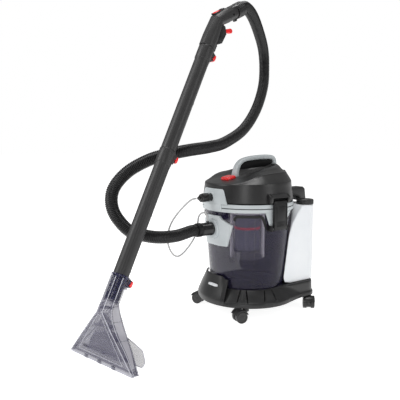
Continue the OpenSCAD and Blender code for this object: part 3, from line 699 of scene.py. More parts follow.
def drum():
    p = Piece("smoky_drum")
    prof = [(0.01, 88), (122, 88), (128, 88.6), (130.6, 90.6), (131.4, 94), (134.6, 135),
            (141, 220),
            (147.2, 301), (151.2, 352), (151.8, 364), (149, 364), (148.2, 352), (144.2, 301),
            (138, 220), (131.6, 135), (128.6, 96), (126.5, 92), (121, 91), (0.01, 91)]
    p.add(lathe(prof, 180), SMOKE)
    p.add(lathe([(131.6, 92), (132.6, 93), (133.8, 99), (132.4, 101)], 180, closed=True),
          SMOKEDARK)
    # thick collar that follows the lower edge of the ring, and the seam rib
    edge = [(33, 338), (35, 346), (38, 350), (44, 351), (56, 351), (66.5, 350), (69.5, 346),
            (72, 332),
            (74.5, 316), (76.6, 306.5), (80, 304.5), (90, 304.5), (104, 304.5), (109, 312),
            (118, 340),
            (124, 350), (134, 352), (150, 352), (172, 352)]
    for s in (-1, 1):
        p.add(strip([(s * a, z) for a, z in edge], 4.4, -0.6, 2.6), LATCH)
    for a in (60, -120):
        rows = []
        for z in (100, 160, 220, 280, 340, 350):
            r = drum_r(z)
            rows.append([R(rad(a), 4, "Z") @ Vector((x, -r + y, z))
                         for x, y in ((-0.75, 0.3), (-0.75, -0.5), (0, -0.8), (0.75, -0.5),
                                      (0.75, 0.3))])
        p.add(skin(rows), SMOKEDARK)
    p.done("machine", ["drum"], "smoke_clear", angle=40)

    g = Piece("drum_ring_band")
    g.add(lathe([(150, 364.2), (158.6, 364), (159.8, 365), (160, 367), (160, 374.8),
                 (158.9, 375.7),
                 (157.6, 376.2), (157.6, 377.8), (158.9, 378.3), (160, 379.2), (160, 388.6),
                 (159.4, 390.4),
                 (158, 391), (150, 391)], 200, closed=True), GREY)
    zs = [315, 317, 320, 330, 340, 350, 358, 364.6]
    near = [(315, 29), (317, 31), (320, 32.5), (364.6, 48)]
    far = [(315, 30), (317, 32), (320, 34), (345, 52), (364.6, 75)]
    for a in (90, -90):
        m = R(rad(a), 4, "Z")
        lo, hi = (near, far) if a > 0 else (far, near)
        brk = plate(zs, lambda z: -read(lo, z), lambda z: read(hi, z),
                    round_face(RING_R), round_face(153.8), 24)
        g.add(bev(brk, 1.1, 2, 50), GREY, m)
        g.box((-31, 31, -158.5, -150, 303.4, 318), 1.2, LATCH, m)
        for s in (-1, 1):
            g.box((s * 34.5 - 3, s * 34.5 + 3, -170, -150, 303.4, 322), (1.8, 3), LATCH, m)
        g.add(rod(2.5, -37, 37, 24, 0.3), STEEL, m @ T((0, -165, 312)) @ ALONG_X)
    # near-black line in the ring's groove: painted shade
    g.add(lathe([(157.7, 375.9), (158.7, 376.1), (158.7, 377.9), (157.7, 378.1)], 200,
                closed=True), BLACK_AND_PAINTED_SHADE)
    g.done("machine", ["drum_ring"], "grey_plastic", angle=38)

    # faceted inlet plate: flat in front, its two wings turned back to the drum
    def face(x, z):
        r = drum_r(z) + 5.2
        edge = -math.sqrt(max(0, r * r - x * x))
        flat = -r - 1.2
        wing = lerp(flat, -math.sqrt(r * r - 78 * 78), max(0, abs(x) - 34) / 44.0)
        return min(edge, wing if abs(x) > 34 else flat)

    q = Piece("inlet_plate_grey")
    wide = [(247, 57), (320, 78), (338, 46), (350, 35)]
    zs = [247, 252, 262, 276, 290, 303, 312, 320, 325, 332, 338, 344, 350]
    for lo, hi, k in ((-1, -0.5, 12), (-0.5, 0.5, 14), (0.5, 1, 12)):
        def side(z, w):
            return math.copysign(min(34.0, read(wide, z)), w) if abs(w) < 1 else w * read(wide, z)
        if abs(lo) == 1 or abs(hi) == 1:
            use = [z for z in zs if read(wide, z) > 34.6]
        else:
            use = zs
        pl = plate(use, lambda z: side(z, lo), lambda z: side(z, hi), face,
                   lambda x, z: -math.sqrt((drum_r(z) + 0.3) ** 2 - x * x), k)
        q.add(bev(pl, 0.8, 2, 50), GREY)
    q.add(lathe([(33, -160), (34, -159), (35.5, -150), (36, -142), (22.4, -142), (22.4, -160)], 96,
                closed=True), GREY, AT_INLET)
    q.done("machine", ["inlet_plate"], "grey_plastic", angle=30)

    c = Piece("hose_cuff_black")
    c.add(lathe([(18, -206), (21.2, -206), (22, -205), (22, -168), (22.8, -167), (22.8, -160.5),
                 (22, -159.5), (22, -140.5), (21.4, -140), (18, -140)], 96, closed=True),
          GLOSS, AT_INLET)
    prof = [(18.4, -222), (22.2, -222), (22.8, -221.4)]
    for i in range(4):
        y = -220.5 + 4.3 * i
        prof += [(22.7, y), (23.4, y + 0.3), (23.5, y + 1.0), (23.4, y + 1.8), (22.7, y + 2.1),
                 (22.5, y + 3.2)]
    prof += [(22.6, -204.6), (22.2, -204), (18.4, -204)]
    c.add(lathe(prof, 96, closed=True), HOSE, AT_INLET)
    c.add(rod(5, INLET_Z + 19, INLET_Z + 27, 32, 0.6), GLOSS, T((0, -175, 0)))
    c.done("machine", ["hose_cuff"], "black_plastic", angle=40)

    rounded("inlet_deflector", "inlet_deflector_dark", 1.0, SMOKEDARK, "machine", "smoke_dark")


# ---- head
FLOOR = [(-60, 472), (-44, 474), (-20, 477), (0, 480), (45, 485), (80, 493), (106, 508),
         (120, 514)]
RIDGE = [(-152, 456), (-120, 458.5), (-98, 464), (-78, 472), (-60, 479), (-33, 485.5), (0, 489),
         (40, 491),
         (80, 492), (110, 490), (150, 486)]
RIM = [(-52, 477), (-30, 485), (-10, 494), (15, 502), (44, 507.5), (80, 512), (118, 517)]


def soft_read(pts, x, w=4.0):
    return sum(read(pts, x + d * w) for d in (-1, -0.5, 0, 0.5, 1)) / 5.0


def shoulder(y):
    """Height of the crisp edge where the head's side meets its top."""
    return 455.5 + 0.03 * (y + 150)


def roof(x, y):
    """Height of the head's top inside its shoulder: a long slope up to a ridge, a hump behind the
    ridge, and a hand hollow let into the hump."""
    r = math.hypot(x, y)
    dx, dy = abs(x) / 115.0, abs(y) / (150.0 if y < 0 else 134.0)
    q1 = max(1e-6, (dx ** 2.5 + dy ** 2.5) ** 0.4)
    ridge = soft_read(RIDGE, y / q1, 5) if q1 > 0.05 else 489
    if q1 >= 1:
        d0, d1 = max(0.0, 150.5 - r), r * (1 - 1 / q1)
        v = d0 / max(1e-6, d0 + d1)
        low = shoulder(y)
        return low + (ridge - 1.2 - low) * v ** 0.92 + 1.2 * ease(1 - d1 / 1.6)
    q2 = max(1e-6, math.hypot(x / 60.0, (y - 34) / 83.0))
    y2 = 34 + (y - 34) / q2 if q2 > 0.05 else 34
    near = math.hypot(x, y - 34)
    rim = soft_read(RIM, min(118, y2), 6)
    if q2 >= 1:
        d1, d2 = r * (1 / q1 - 1), near * (1 - 1 / q2)
        u = d1 / max(1e-6, d1 + d2)
        rise = read([(0, 0), (0.12, 0.10), (0.42, 0.48), (0.62, 0.80), (0.8, 0.95), (1, 1)], u)
        rise = lerp(u, rise, ease(math.degrees(math.atan2(abs(x), -y)) / 60 - 0.3))
        return ridge + (rim - ridge) * rise
    base = min(rim - 1, soft_read(FLOOR, y, 8))
    return base + (rim - base) * q2 ** 4


def head():
    n = 420
    rows = []

    def row(fn):
        rows.append([fn(2 * math.pi * i / n) for i in range(n)])

    side = [(148, 394.8), (155, 394.6), (157.8, 394.8), (158.8, 395.5), (158.6, 400.5),
            (157.3, 410),
            (156, 420.5), (154.7, 430), (153.3, 440), (152.4, 447), (151.7, 453.2), (151.2, 454.8),
            (150.3, 455.9), (149.2, 456.3)]
    for r, z in side:
        row(lambda a, r=r, z=z: Vector((r * math.cos(a), r * math.sin(a),
                                        z + max(0, z - 440) / 16 *
                                        (shoulder(r * math.sin(a)) - 455.5))))
    r = 148.4
    while r > 0.9:
        row(lambda a, r=r: Vector((r * math.cos(a), r * math.sin(a),
                                   roof(r * math.cos(a), r * math.sin(a)))))
        r -= 0.95
    rows.append([Vector((0, 0, roof(0, 0)))] * n)
    p = Piece("head_cover").add(skin(rows, ends=(False, False)), BLACK)
    # blower outlet at the rear
    p.add(lathe([(19, 130), (23, 130), (23, 166.6), (22.4, 167.7), (21, 168), (19.6, 167.6),
                 (19, 166.5)], 72, closed=True), BLACK, T((-45, 0, 425)) @ ALONG_Y)
    # near-black band in the gap between head and ring: painted shade
    p.add(ring(150, 155.6, 389.6, 396, 160, 0.4), BLACK_AND_PAINTED_SHADE)
    # dark slots at the rear: painted shade where the vents open
    for i in range(9):
        m = R(rad(164 + 4 * i), 4, "Z")
        p.box((-1.6, 1.6, -154.8, -149, 408, 440), 0.7, BLACK_AND_PAINTED_SHADE, m)
    p.done("head", ["head_shell"], "gloss_black", angle=45)

    h = Piece("latch_hood_pair")
    cheek = [(148, 394.8), (164, 394.8), (169.4, 397), (172.4, 411), (172, 415), (169, 418.5),
             (158.5, 425.6), (148, 426)]
    lip = [(148, 413.4), (171.6, 413.4), (172.4, 414.4), (171.6, 416.4), (169, 418.5),
           (158.5, 425.6),
           (148, 426)]
    for a in (0, 180):
        # two cheeks and a lip round the mouth over the latch; the mouth is a near-black block:
        # painted shade
        m = R(rad(a), 4, "Z")
        for lo, hi in ((-42, -33), (33, 42)):
            h.add(bev(along_y(cheek, lo, hi), 1.4, 3), BLACK, m)
        h.add(bev(along_y(lip, -41.5, 41.5), 1.2, 3), BLACK, m)
        h.box((148, 159.6, -33.5, 33.5, 394.8, 415), (0.4, 1), BLACK_AND_PAINTED_SHADE, m)
    h.done("head", ["latch_hoods"], "gloss_black", angle=38)

    # grey front panel
    f = Piece("front_panel_grey")

    def out_r(z):
        return read([(366, 162), (388, 164), (392, 164), (411, 161.2), (440.5, 157.2)], z)

    half = [(391, 70), (400, 66), (436, 52), (440.5, 46)]
    lower = plate([366, 370, 378, 386, 391.6], lambda z: -48, lambda z: 48,
                  lambda x, z: -math.sqrt(out_r(z) ** 2 - x * x),
                  round_face(158.1), 28)
    upper = plate([391, 395, 400, 412, 424, 432, 436, 440.5], lambda z: -read(half, z),
                  lambda z: read(half, z), lambda x, z: -math.sqrt(out_r(z) ** 2 - x * x),
                  lambda x, z: -math.sqrt((out_r(z) - 3.7) ** 2 - x * x), 36)
    f.add(bev(lower, 1.2, 2, 45), GREY).add(bev(upper, 1.4, 3, 45), GREY)
    f.add(lathe([(14.4, -163), (18.5, -163), (19.5, -161), (20, -156), (14.4, -156)], 72,
                closed=True), GREY, AT_CONN)
    f.done("head", ["front_panel"], "grey_plastic", angle=34)

    k = Piece("quick_coupler")
    prof = [(0.01, -208), (8, -208), (10.4, -207), (11, -205.6), (11, -204), (13.2, -203.6),
            (14, -202.6)]
    for i in range(5):
        y = -199 + 4.2 * i
        prof += [(14, y), (13.2, y + 0.5), (13.2, y + 1.4), (14, y + 1.9)]
    prof += [(14, -172), (12.6, -170), (12.6, -164), (14, -162), (14, -158), (0.01, -158)]
    k.add(lathe(prof, 64), GLOSS, AT_CONN)
    k.add(lathe([(0.01, -216), (3.4, -216), (4.4, -215), (5, -213.4), (5, -208), (0.01, -207)],
                32),
          GLOSS, AT_CONN)
    k.box((-4, 4, -198, -176, CONN_Z + 12, CONN_Z + 15.4), 0.8, GLOSS)
    k.done("head", ["quick_connector"], "black_plastic", angle=36)

    # carrying handle: a rounded bar that grows wider at its feet
    pairs = [((-66, 470), (-49.5, 472)), ((-65, 486), (-48, 488)), ((-61, 502), (-44.5, 501)),
             ((-54, 516), (-38.5, 513.5)), ((-43, 528), (-30, 521)), ((-28, 536.6), (-19, 525.6)),
             ((0, 543.6), (2, 528.8)), ((40, 547.6), (40.5, 531.4)), ((74, 548.7), (74, 532)),
             ((97, 548), (94, 531.4)), ((111.5, 545), (103, 529)), ((121, 537.6), (107.5, 524.6)),
             ((125.6, 527), (108.5, 519.5)), ((126, 515), (109, 511))]
    a = catmull([Vector((0, *o)) for o, i in pairs], 5)
    b = catmull([Vector((0, *i)) for o, i in pairs], 5)
    rows = []
    for i, (o, c) in enumerate(zip(a, b)):
        mid, up = (o + c) / 2, (o - c) / 2
        t = i / (len(a) - 1)
        w = 13 + 2.2 * ease((0.16 - t) / 0.16) + 1.5 * ease((t - 0.86) / 0.14)
        rows.append([mid + up * v + Vector((w * u, 0, 0)) for u, v in oval(1, 1, 40, 3.2)])
    Piece("carrying_handle").add(skin(rows), HANDLEGREY).done(
        "head", ["carry_handle"], "grey_plastic", angle=50)
    rounded("grip_insert", "handle_infill", 1.2, BLACK_AND_PAINTED_SHADE, "head", "black_plastic")

    gl = Piece("cord_gland_black")
    prof = [(4, 104), (8, 104), (8, 133), (10, 134), (10.2, 136), (10, 138), (8.4, 138.6)]
    for i in range(3):
        prof += [(7.8, 139 + 0.8 * i), (7.2, 139.4 + 0.8 * i)]
    prof += [(6.4, 141), (4, 141)]
    gl.add(lathe(prof, 48, closed=True), BLACK, T((38, 0, 484)) @ ALONG_Y)
    gl.done("head", ["cord_gland"], "black_plastic")

    # red switch: a cushion-topped key, a little hollow in the middle
    rows = stack([(-8, 0.2), (3, 0), (5.6, 0.3), (7.4, 1.4), (8.5, 3.2), (9.0, 6), (8.9, 9.5),
                  (8.7, 13), (8.55, 16), (8.5, 18)],
                 lambda i: oval(22 - i, 19.5 - i, 72, 5.2 - 0.12 * i))
    sw = Piece("red_switch").add(skin(rows), RED, IN_C @ T((0, 60, 1.6)))
    sw.done("switch_button", ["power_switch"], "red_plastic", angle=50)
    fr = Piece("switch_frame")
    rows = stack([(-5, -3.4), (0.9, -3.2), (1.6, -2.4), (1.7, -1.5), (0.9, -0.7), (-5, -0.6)],
                 lambda i: oval(22 - i, 19.5 - i, 72, 5.4))
    rows.append(rows[0])
    fr.add(skin(rows, ends=(False, False)), GLOSS, IN_C @ T((0, 60, 0)))
    fr.done("head")

    el = Piece("tank_elbow_black")
    el.add(bev(cad("tank_elbow"), 3.0, 3), BLACK)
    el.box((23.5, 55.5, 150, 156, 428, 432), 0.8, BLACK)
    el.done("head", ["tank_elbow"], "black_plastic", angle=40)

    for node, mat, w, slot in (("head_pan", BLACK_AND_PAINTED_SHADE, 0.5, "black_plastic"),
                               ("fan_housing", BLACK_AND_PAINTED_SHADE, 0.8, "black_plastic"),
                               ("motor", STEEL, 1.2, "steel"),
                               ("pump", BLACK_AND_PAINTED_SHADE, 1.2, "black_plastic"),
                               ("filter_flange", BLACK_AND_PAINTED_SHADE, 0.8, "black_plastic"),
                               ("filter_cap", BLACK_AND_PAINTED_SHADE, 0.8, "black_plastic")):
        rounded(node, node + "_fine", w, mat, "head", slot)
    cage = Piece("float_cage_and_basket")
    cage.add(ring(27, 34, 336, 380, 96, 0.8), BLACK_AND_PAINTED_SHADE).add(ring(2.1, 32, 236, 240, 96, 0.6), BLACK_AND_PAINTED_SHADE)
    for i in range(4):
        cage.box((26, 31, -3, 3, 239, 337), 0.8, BLACK_AND_PAINTED_SHADE, R(rad(90 * i + 45), 4, "Z"))
    # the basket's pale side bands are a painted highlight
    cage.add(lathe([(33, 343.3), (59, 343.3), (59, 187.8), (59.5, 187), (60.5, 187), (61.6, 188),
                    (61.6, 192),
                    (61, 193), (61, 345.3), (33, 345.3)], 128, closed=True), BASKET_PAINTED_HIGHLIGHT)
    for i in range(12):
        cage.box((59.8, 61.8, -0.8, 0.8, 193, 335), (0.3, 1), BASKET_PAINTED_HIGHLIGHT, R(rad(30 * i + 15), 4, "Z"))
    cage.done("head", ["float_cage"], "smoke_clear", angle=40)
    rounded("fan_rotor", "fan_rotor_fine", 0.3, ALU, "fan", "aluminium", seg=1)
    rounded("float", "float_fine", 1.2, FLOAT, "float_body", "float_plastic")
    # pleated paper filter and its red band, both with a painted glow
    rows = []
    for z in (215, 216.5, 260, 300, 333.5, 335):
        rows.append([Vector((r * math.cos(a), r * math.sin(a), z)) for a, r in
                     ((2 * math.pi * i / 288, 41.6 + 2.2 * math.cos(2 * math.pi * i / 4.5))
                      for i in range(288))])
    Piece("pleated_filter").add(skin(rows), PAPER_PAINTED_GLOW).done("head", ["filter_pleats"], "filter_paper",
                                                         angle=60)
    Piece("red_filter_band").add(ring(44.1, 46, 288, 297, 96, 0.7), RED_PAINTED_GLOW).done(
        "head", ["filter_band"], "red_plastic")


# ---- side latches
def latches():
    side = [(161.6, 331), (162.2, 316), (163.6, 308.6), (167, 306.2), (170.4, 307.6), (172, 311),
            (173, 330), (172.6, 352), (171.8, 380), (171.2, 399), (170.2, 402.6), (168, 404),
            (165, 404), (163.2, 402.8), (162.6, 400)]
    for name, a, node in (("latch_right_body", 0, "latch_right"),
                          ("latch_left_body", 180, "latch_left")):
        m = R(rad(a), 4, "Z")
        p = Piece(node + "_clip")
        p.add(bev(along_y(side, -28.5, 28.5), 1.6, 3, 50), LATCH, m)
        # raised edge ribs, finger lip and a shallow panel
        for y in (-26, 26):
            p.add(bev(along_y([(171.6, 318), (174, 320), (173.4, 352), (172.4, 392), (170.6, 396)],
                              y - 2.3, y + 2.3), 0.8, 2), LATCH, m)
        p.box((171.4, 173.4, -19, 19, 336, 385), 0.9, LATCH, m)
        for i in range(4):
            p.box((172, 174.0, -16, 16, 318 + 4.4 * i, 320 + 4.4 * i), 0.5, LATCH, m)
        p.done(name, [node], "black_plastic", angle=40)


# ---- clean tank
def tank():
    def remesh(o):
        w = o.modifiers.new("shell", "REMESH")
        w.mode = "VOXEL"
        w.voxel_size = 0.0022
        s = o.modifiers.new("smooth", "SMOOTH")
        s.factor = 0.5
        s.iterations = 14

    p = Piece("milky_tank").add(cad("clean_tank"), MILK)
    p.done("tank", ["clean_tank"], "milky_white", angle=75, change=remesh)
    # screw cap with a knurled skirt
    rows = []
    prof = [(371.6, 30.2), (372.6, 30.9), (384.6, 30.9), (387.4, 30.4), (388.9, 28.6), (389.3, 26)]
    n = 288
    for z, r in prof:
        k = 0.75 if r > 30 else 0.0
        knurled = [r - k * (0.5 + 0.5 * math.cos(i * math.pi / 4)) for i in range(n)]
        rows.append([Vector((q * math.cos(2 * math.pi * i / n), q * math.sin(2 * math.pi * i / n),
                             z))
                     for i, q in enumerate(knurled)])
    rows += [circle(20, 388.4, n), circle(19, 389.2, n)]
    c = Piece("filler_cap").add(skin(rows), BLACK, T((90, 194, 0)))
    c.done("cap", ["tank_cap"], "black_plastic", angle=30)


# ---- casters
TRAIL, WHEEL_R, AXLE_R, WHEEL_APART = 22, 20, 3, 13.4


def casters():
    stems = {"fr": (120, -104, -101), "fl": (-120, -104, -155), "rr": (122, 188, -40),
             "rl": (-122, 188, 120)}
    for k, (x, y, yaw) in stems.items():
        m = T((x, y, 0)) @ R(rad(yaw), 4, "Z")
        rounded("caster_" + k, "caster_%s_fork" % k, 0.9, BLACK, "caster_%s_body" % k,
                "black_plastic", angle=40)
        w = Piece("caster_%s_wheels" % k)
        at = m @ T((TRAIL, 0, WHEEL_R)) @ ALONG_Y
        w.add(rod(AXLE_R, -18, 18, 24, 0.4), STEEL, at)
        for s in (-1, 1):
            # tyre with rounded shoulders, a recessed hub disc and its cap
            prof = [(3.1, -6.2), (6.5, -6.2), (7.5, -5.2), (14.6, -5.2), (15.6, -6.4), (18, -6.5),
                    (19.3, -5.8), (20, -4.4), (20, 4.4), (19.3, 5.8), (18, 6.5), (15.6, 6.4),
                    (14.6, 5.2), (7.5, 5.2), (6.5, 6.2), (3.1, 6.2)]
            w.add(lathe(prof, 96, closed=True), RUBBER, at @ T((0, 0, WHEEL_APART * s)))
            w.add(lathe([(0.01, 5), (0.01, 6.45), (4, 6.4), (5.4, 5.8), (6, 5)], 32), BLACK,
                  at @ T((0, 0, WHEEL_APART * s)) @ R(rad(0 if s > 0 else 180), 4, "X"))
        w.done("wheels_%s_body" % k, ["wheels_" + k], "tread", angle=36)


base()
drum()
head()
latches()
tank()
casters()


# ---- wand
def seat(p, s0, y0, mat):
    """Pad, ears and pin that carry a latch lever below the joint line s0."""
    p.box((-12, 12, y0 - 9, y0, s0 - 34, s0 - 1), 1.2, mat, IN_S)
    for s in (-1, 1):
        p.add(bev(block(s * 10.7 - 1.3, s * 10.7 + 1.3, y0 - 1, y0 + 7, s0 - 16, s0 - 4), 0.6, 2),
              mat, IN_S)
    p.add(rod(1.6, -11, 11, 20, 0.3), STEEL, IN_S @ T((0, y0 + 4.5, s0 - 10)) @ ALONG_X)


def flute(a):
    """Depth taken off a tube's radius at angle a, measured from its top side."""
    d = 0.0
    for at, w, deep in ((50, 11, 0.75), (-50, 11, 0.75), (0, 7, 0.35)):
        d = max(d, deep * ease(1 - abs((a - at + 180) % 360 - 180) / w))
    return d


def wand_tube(node, s0, s1, spigot, body):
    p = Piece(node + "_black")
    n = 144
    rows = []
    for s, r, k in ((s0 - spigot, 19.6, 0), (s0 - spigot + 1, SPIGOT_R, 0),
                    (s0 - 0.2, SPIGOT_R, 0),
                    (s0, 21.2, 0), (s0 + 0.2, 22.4, 0), (s0 + 1, TUBE_R, 0.2), (s0 + 8, TUBE_R, 1),
                    (s1 - 56, TUBE_R, 1), (s1 - 48, TUBE_R, 0.3), (s1 - 46.4, 23.2, 0),
                    (s1 - 45.6, 24.3, 0),
                    (s1 - 44.6, COLLAR_R, 0), (s1 - 8, COLLAR_R, 0), (s1 - 7.4, 24.1, 0),
                    (s1 - 6.4, 24.1, 0),
                    (s1 - 5.8, COLLAR_R, 0), (s1 - 0.9, COLLAR_R, 0), (s1, 24, 0), (s1, 20.6, 0),
                    (s1 - 3, SOCKET_R, 0), (s0 + 4, SOCKET_R, 0), (s0 + 2, 18, 0),
                    (s0 - spigot, 18, 0)):
        rows.append([polar(r - k * flute(a), a, s) for a in (360.0 * i / n for i in range(n))])
    rows.append(rows[0])
    p.add(skin(rows, ends=(False, False)), WAND, IN_S)
    # channel for the solution line, with its clips
    prof = [(0, s0 + 8), (4.4, s0 + 8.6), (6.4, s0 + 11), (7, s0 + 15), (7, s1 - 43),
            (6.4, s1 - 40),
            (4.4, s1 - 38.4), (0, s1 - 38)]
    p.add(lathe(prof, 40), WAND, IN_S @ T((0, 21.5, 0)))
    for s in (s0 + 14, (s0 + s1) / 2 - 10, s1 - 50):
        p.add(lathe([(6.6, s), (7.5, s + 0.6), (7.5, s + 7.4), (6.6, s + 8)], 40), WAND,
              IN_S @ T((0, 21.5, 0)))
    seat(p, s1, 28, WAND)
    p.done(body, [node], "black_plastic", angle=36)


def levers():
    for k, s0, y0 in (("top", S_TOP, 28), ("mid", S_MID, 28), ("low", S_LOW, 31)):
        p = Piece("lever_%s_catch" % k).add(bev(cad("lever_" + k), 0.9, 3), GLOSS)
        for i in range(3):
            p.add(bev(block(-7.6, 7.6, y0 + 8.6, y0 + 10.1, s0 - 13.4 + 2.4 * i,
                            s0 - 12.2 + 2.4 * i), 0.3),
                  GLOSS, IN_S)
        p.done("lever_%s_body" % k, ["lever_" + k], "gloss_black")
        t = Piece("lever_%s_red_tab" % k).add(bev(cad("tab_" + k), 0.8, 3), RED)
        side = [(y0 + 2.5, s0 - 21), (y0 + 11.6, s0 - 24.6), (y0 + 13.2, s0 - 14),
                (y0 + 11, s0 - 5.4), (y0 + 5, s0 - 7)]
        t.add(bev(along_x(side, -13.2, 13.2), 1.4, 3), RED, IN_S)
        t.done("lever_%s_body" % k, ["tab_" + k], "red_plastic")


def facets(pts, scale=1.0, shift=0.0):
    """A closed outline of the handle: half its corner points, mirrored."""
    half = [(x * scale, y * scale + shift) for x, y in pts]
    return half + [(-x, y) for x, y in half[::-1]]


STEM = [(4.5, -26.4), (9.5, -25.6), (14.2, -22.2), (20.2, -15.0), (23.2, -10.4), (24.8, -5.5),
        (24.8, 4.5),
        (23.2, 9.5), (18, 16.6), (12, 21.4), (6, 23.8)]
GRIP = [(4.5, -25), (9.2, -25), (12.2, -22.6), (17.6, -15.6), (19.8, -12), (21, -8), (21, 4.5),
        (20, 8.6), (15.4, 14.8), (10.4, 18.8), (5.2, 20.8)]


def handle():
    p = Piece("handle_shell")
    inv = IN_S.inverted() @ IN_G
    stem, grip = facets(STEM), facets(GRIP)
    rows = []
    for s, k in ((S_TOP + 0.2, 0.9), (S_TOP + 0.3, 0.975), (S_TOP + 1.4, 1), (S_TOP + 7, 1),
                 (S_TOP + 7.6, 0.985), (S_TOP + 8.8, 0.985), (S_TOP + 9.4, 1), (BEND - 60, 1)):
        rows.append([Vector((x * k, y * k, s)) for x, y in stem])
    # the mitre: each line of the stem meets its line of the grip on one plane
    half = math.tan(rad(-GRIP_TILT / 2))
    mitre = []
    for (x0, y0), (x1, y1) in zip(stem, grip):
        a = Vector((x0, y0, BEND + y0 * half))
        b = inv @ Vector((x1, y1, -y1 * half))
        mitre.append((a + b) / 2)
    for t in (0.62, 0.88, 0.965, 1.0):
        rows.append([q.lerp(m, t) for q, m in zip(rows[7], mitre)])
    end = [inv @ Vector((x, y, 50)) for x, y in grip]
    for t in (0.035, 0.12, 0.5, 1.0):
        rows.append([m.lerp(q, t) for m, q in zip(mitre, end)])
    for z, k in ((56, 0.975), (93, 0.965), (95.2, 0.94), (95.9, 0.8)):
        rows.append([inv @ Vector((x * k, max(y * k, -22.6), z)) for x, y in grip])
    p.box((-5, 5, 16, 28, 82, 95), (1.8, 3), GLOSS, IN_G)
    p.add(skin(rows), WAND, IN_S)
    p.add(ring(17, 20.3, S_TOP - 40, S_TOP + 2, 72, 0.6), WAND, IN_S)
    # rails and end stop of the air slider
    for s in (-1, 1):
        p.box((s * 8.5 - 0.9, s * 8.5 + 0.9, -27, -22, -5, 46), (0.6, 3), WAND, IN_G)
    p.box((-7, 7, -28.6, -23, 33, 45), (1.2, 3), GLOSS, IN_G)
    # near-black floor between the rails: painted shade in the slot
    p.box((-7.6, 7.6, -25.25, -22, -5, 33), (0.2, 1), BLACK_AND_PAINTED_SHADE, IN_G)
    # parting line screws on the flank
    for z in (18, 66):
        p.add(lathe([(0, 20.2), (1.6, 20.2), (1.7, 21.3), (3.3, 21.4), (3.6, 20.4)], 32), BLACK_AND_PAINTED_SHADE,
              IN_G @ T((0, 2, z)) @ ALONG_X)
    p.done("machine", ["handle_body"], "black_plastic", angle=24)

    near = IN_S @ T((0, -5, 0)) @ IN_S.inverted()
    v = Piece("valve_housing").add(bev(cad("valve_box"), 1.8, 3, 30), GLOSS, near)
    v.box((12.4, 13.5, 24, 40, 1052, 1090), 0.5, GLOSS, near @ IN_S)
    v.box((-13.5, -12.4, 24, 40, 1052, 1090), 0.5, GLOSS, near @ IN_S)
    v.add(lathe([(4.6, 1019), (5.4, 1020), (5.4, 1036), (6.4, 1038), (4.6, 1042)], 32), GLOSS,
          IN_S @ T((0, 30.5, 0)))
    v.done("machine", ["valve_box"], "black_plastic")
    rounded("trigger", "red_trigger", 1.7, RED, "trigger_body", "red_plastic", seg=3,
            from_angle=12,
            angle=40)
    s = Piece("red_slider")
    s.box((-7, 7, -27.2, -25.35, -2, 24), (0.8, 3), RED, IN_G)
    for i in range(5):
        s.box((-6, 6, -28.2, -26.8, 0.6 + 4.8 * i, 2.4 + 4.8 * i), 0.6, RED, IN_G)
    s.done("air_slider_body", ["air_slider"], "red_plastic")

    c = Piece("hose_end_collar")
    rows = []
    n = 120
    prof = [(18, 0), (22.6, 0), (23.8, 0.6), (24.2, 2)]
    tail = [(24, 103)]
    for i in range(5):
        z = 104 + 6 * i
        tail += [(24, z - 0.2), (24.8, z + 0.5), (24.8, z + 2.5), (24, z + 3.2)]
    tail += [(24, 133), (22.4, 134.9), (18, 134.9)]
    for i in range(n):
        a = 360.0 * i / n
        start = 96.3 - 22 * ease((math.cos(rad(a)) - 0.35) / 0.5)
        line = [(r if z > 0.1 or start > 96 else max(r, 22.4), start + z) for r, z in prof]
        if start < 96:
            line[0] = (22.3, start)
        rows.append([polar(r, a, z) for r, z in line + tail])
    c.add(skin(rows + [rows[0]], ends=(False, False)), GLOSS, IN_G)
    c.done("machine", ["hose_collar"], "black_plastic", angle=36)


# ---- nozzle
AT_S = T(STEM_FOOT) @ R(rad(WAND_LEAN), 4, "X")
NECK_S, ROUND_TO = 194, 0.13
STATIONS = [0, 0.14, 0.30, 0.53, 0.76, 1.0]
SHELL = {
    0: [(0, 8, 163), (0, -1.5, 146), (0, -3.6, 100), (0, -3.8, 55), (0, -3.6, 3.2)],
    24: [(10.5, 9.4, 163), (10.5, -0.5, 145), (50.5, -3.2, 100), (90.6, -3.6, 55),
         (136.6, -3.6, 3.2)],
    70: [(27, 23, 160), (35, 13, 130), (63, 8, 90), (103, 6, 47), (136.8, 2.4, 3.2)],
    110: [(28, 45, 160), (42, 38, 130), (71, 31, 90), (103, 24, 47), (136.8, 9, 3.2)],
    155: [(13, 54, 152), (25, 51, 128), (57, 40, 90), (95, 28, 47), (136.6, 12.8, 3.2)],
    180: [(0, 56, 149), (0, 51, 128), (0, 39.6, 90), (0, 26.4, 47), (0, 12.8, 3.2)]}
LINES = {}
for _a, _pts in SHELL.items():
    _top = AT_S @ polar(NECK_R, _a, NECK_S)
    _pts = [_top] + [Vector(q) for q in _pts]
    if _a <= 24:
        LINES[_a] = [(s, q) for s, q in zip(STATIONS, _pts)]
    else:
        _fine = catmull(_pts, 8)
        LINES[_a] = [(lerp(STATIONS[i // 8], STATIONS[min(5, i // 8 + 1)], (i % 8) / 8.0), q)
                     for i, q in enumerate(_fine)]


def on_line(line, t):
    for (t0, p0), (t1, p1) in zip(line, line[1:]):
        if t <= t1 + 1e-9:
            return p0.lerp(p1, (t - t0) / (t1 - t0))
    return line[-1][1]


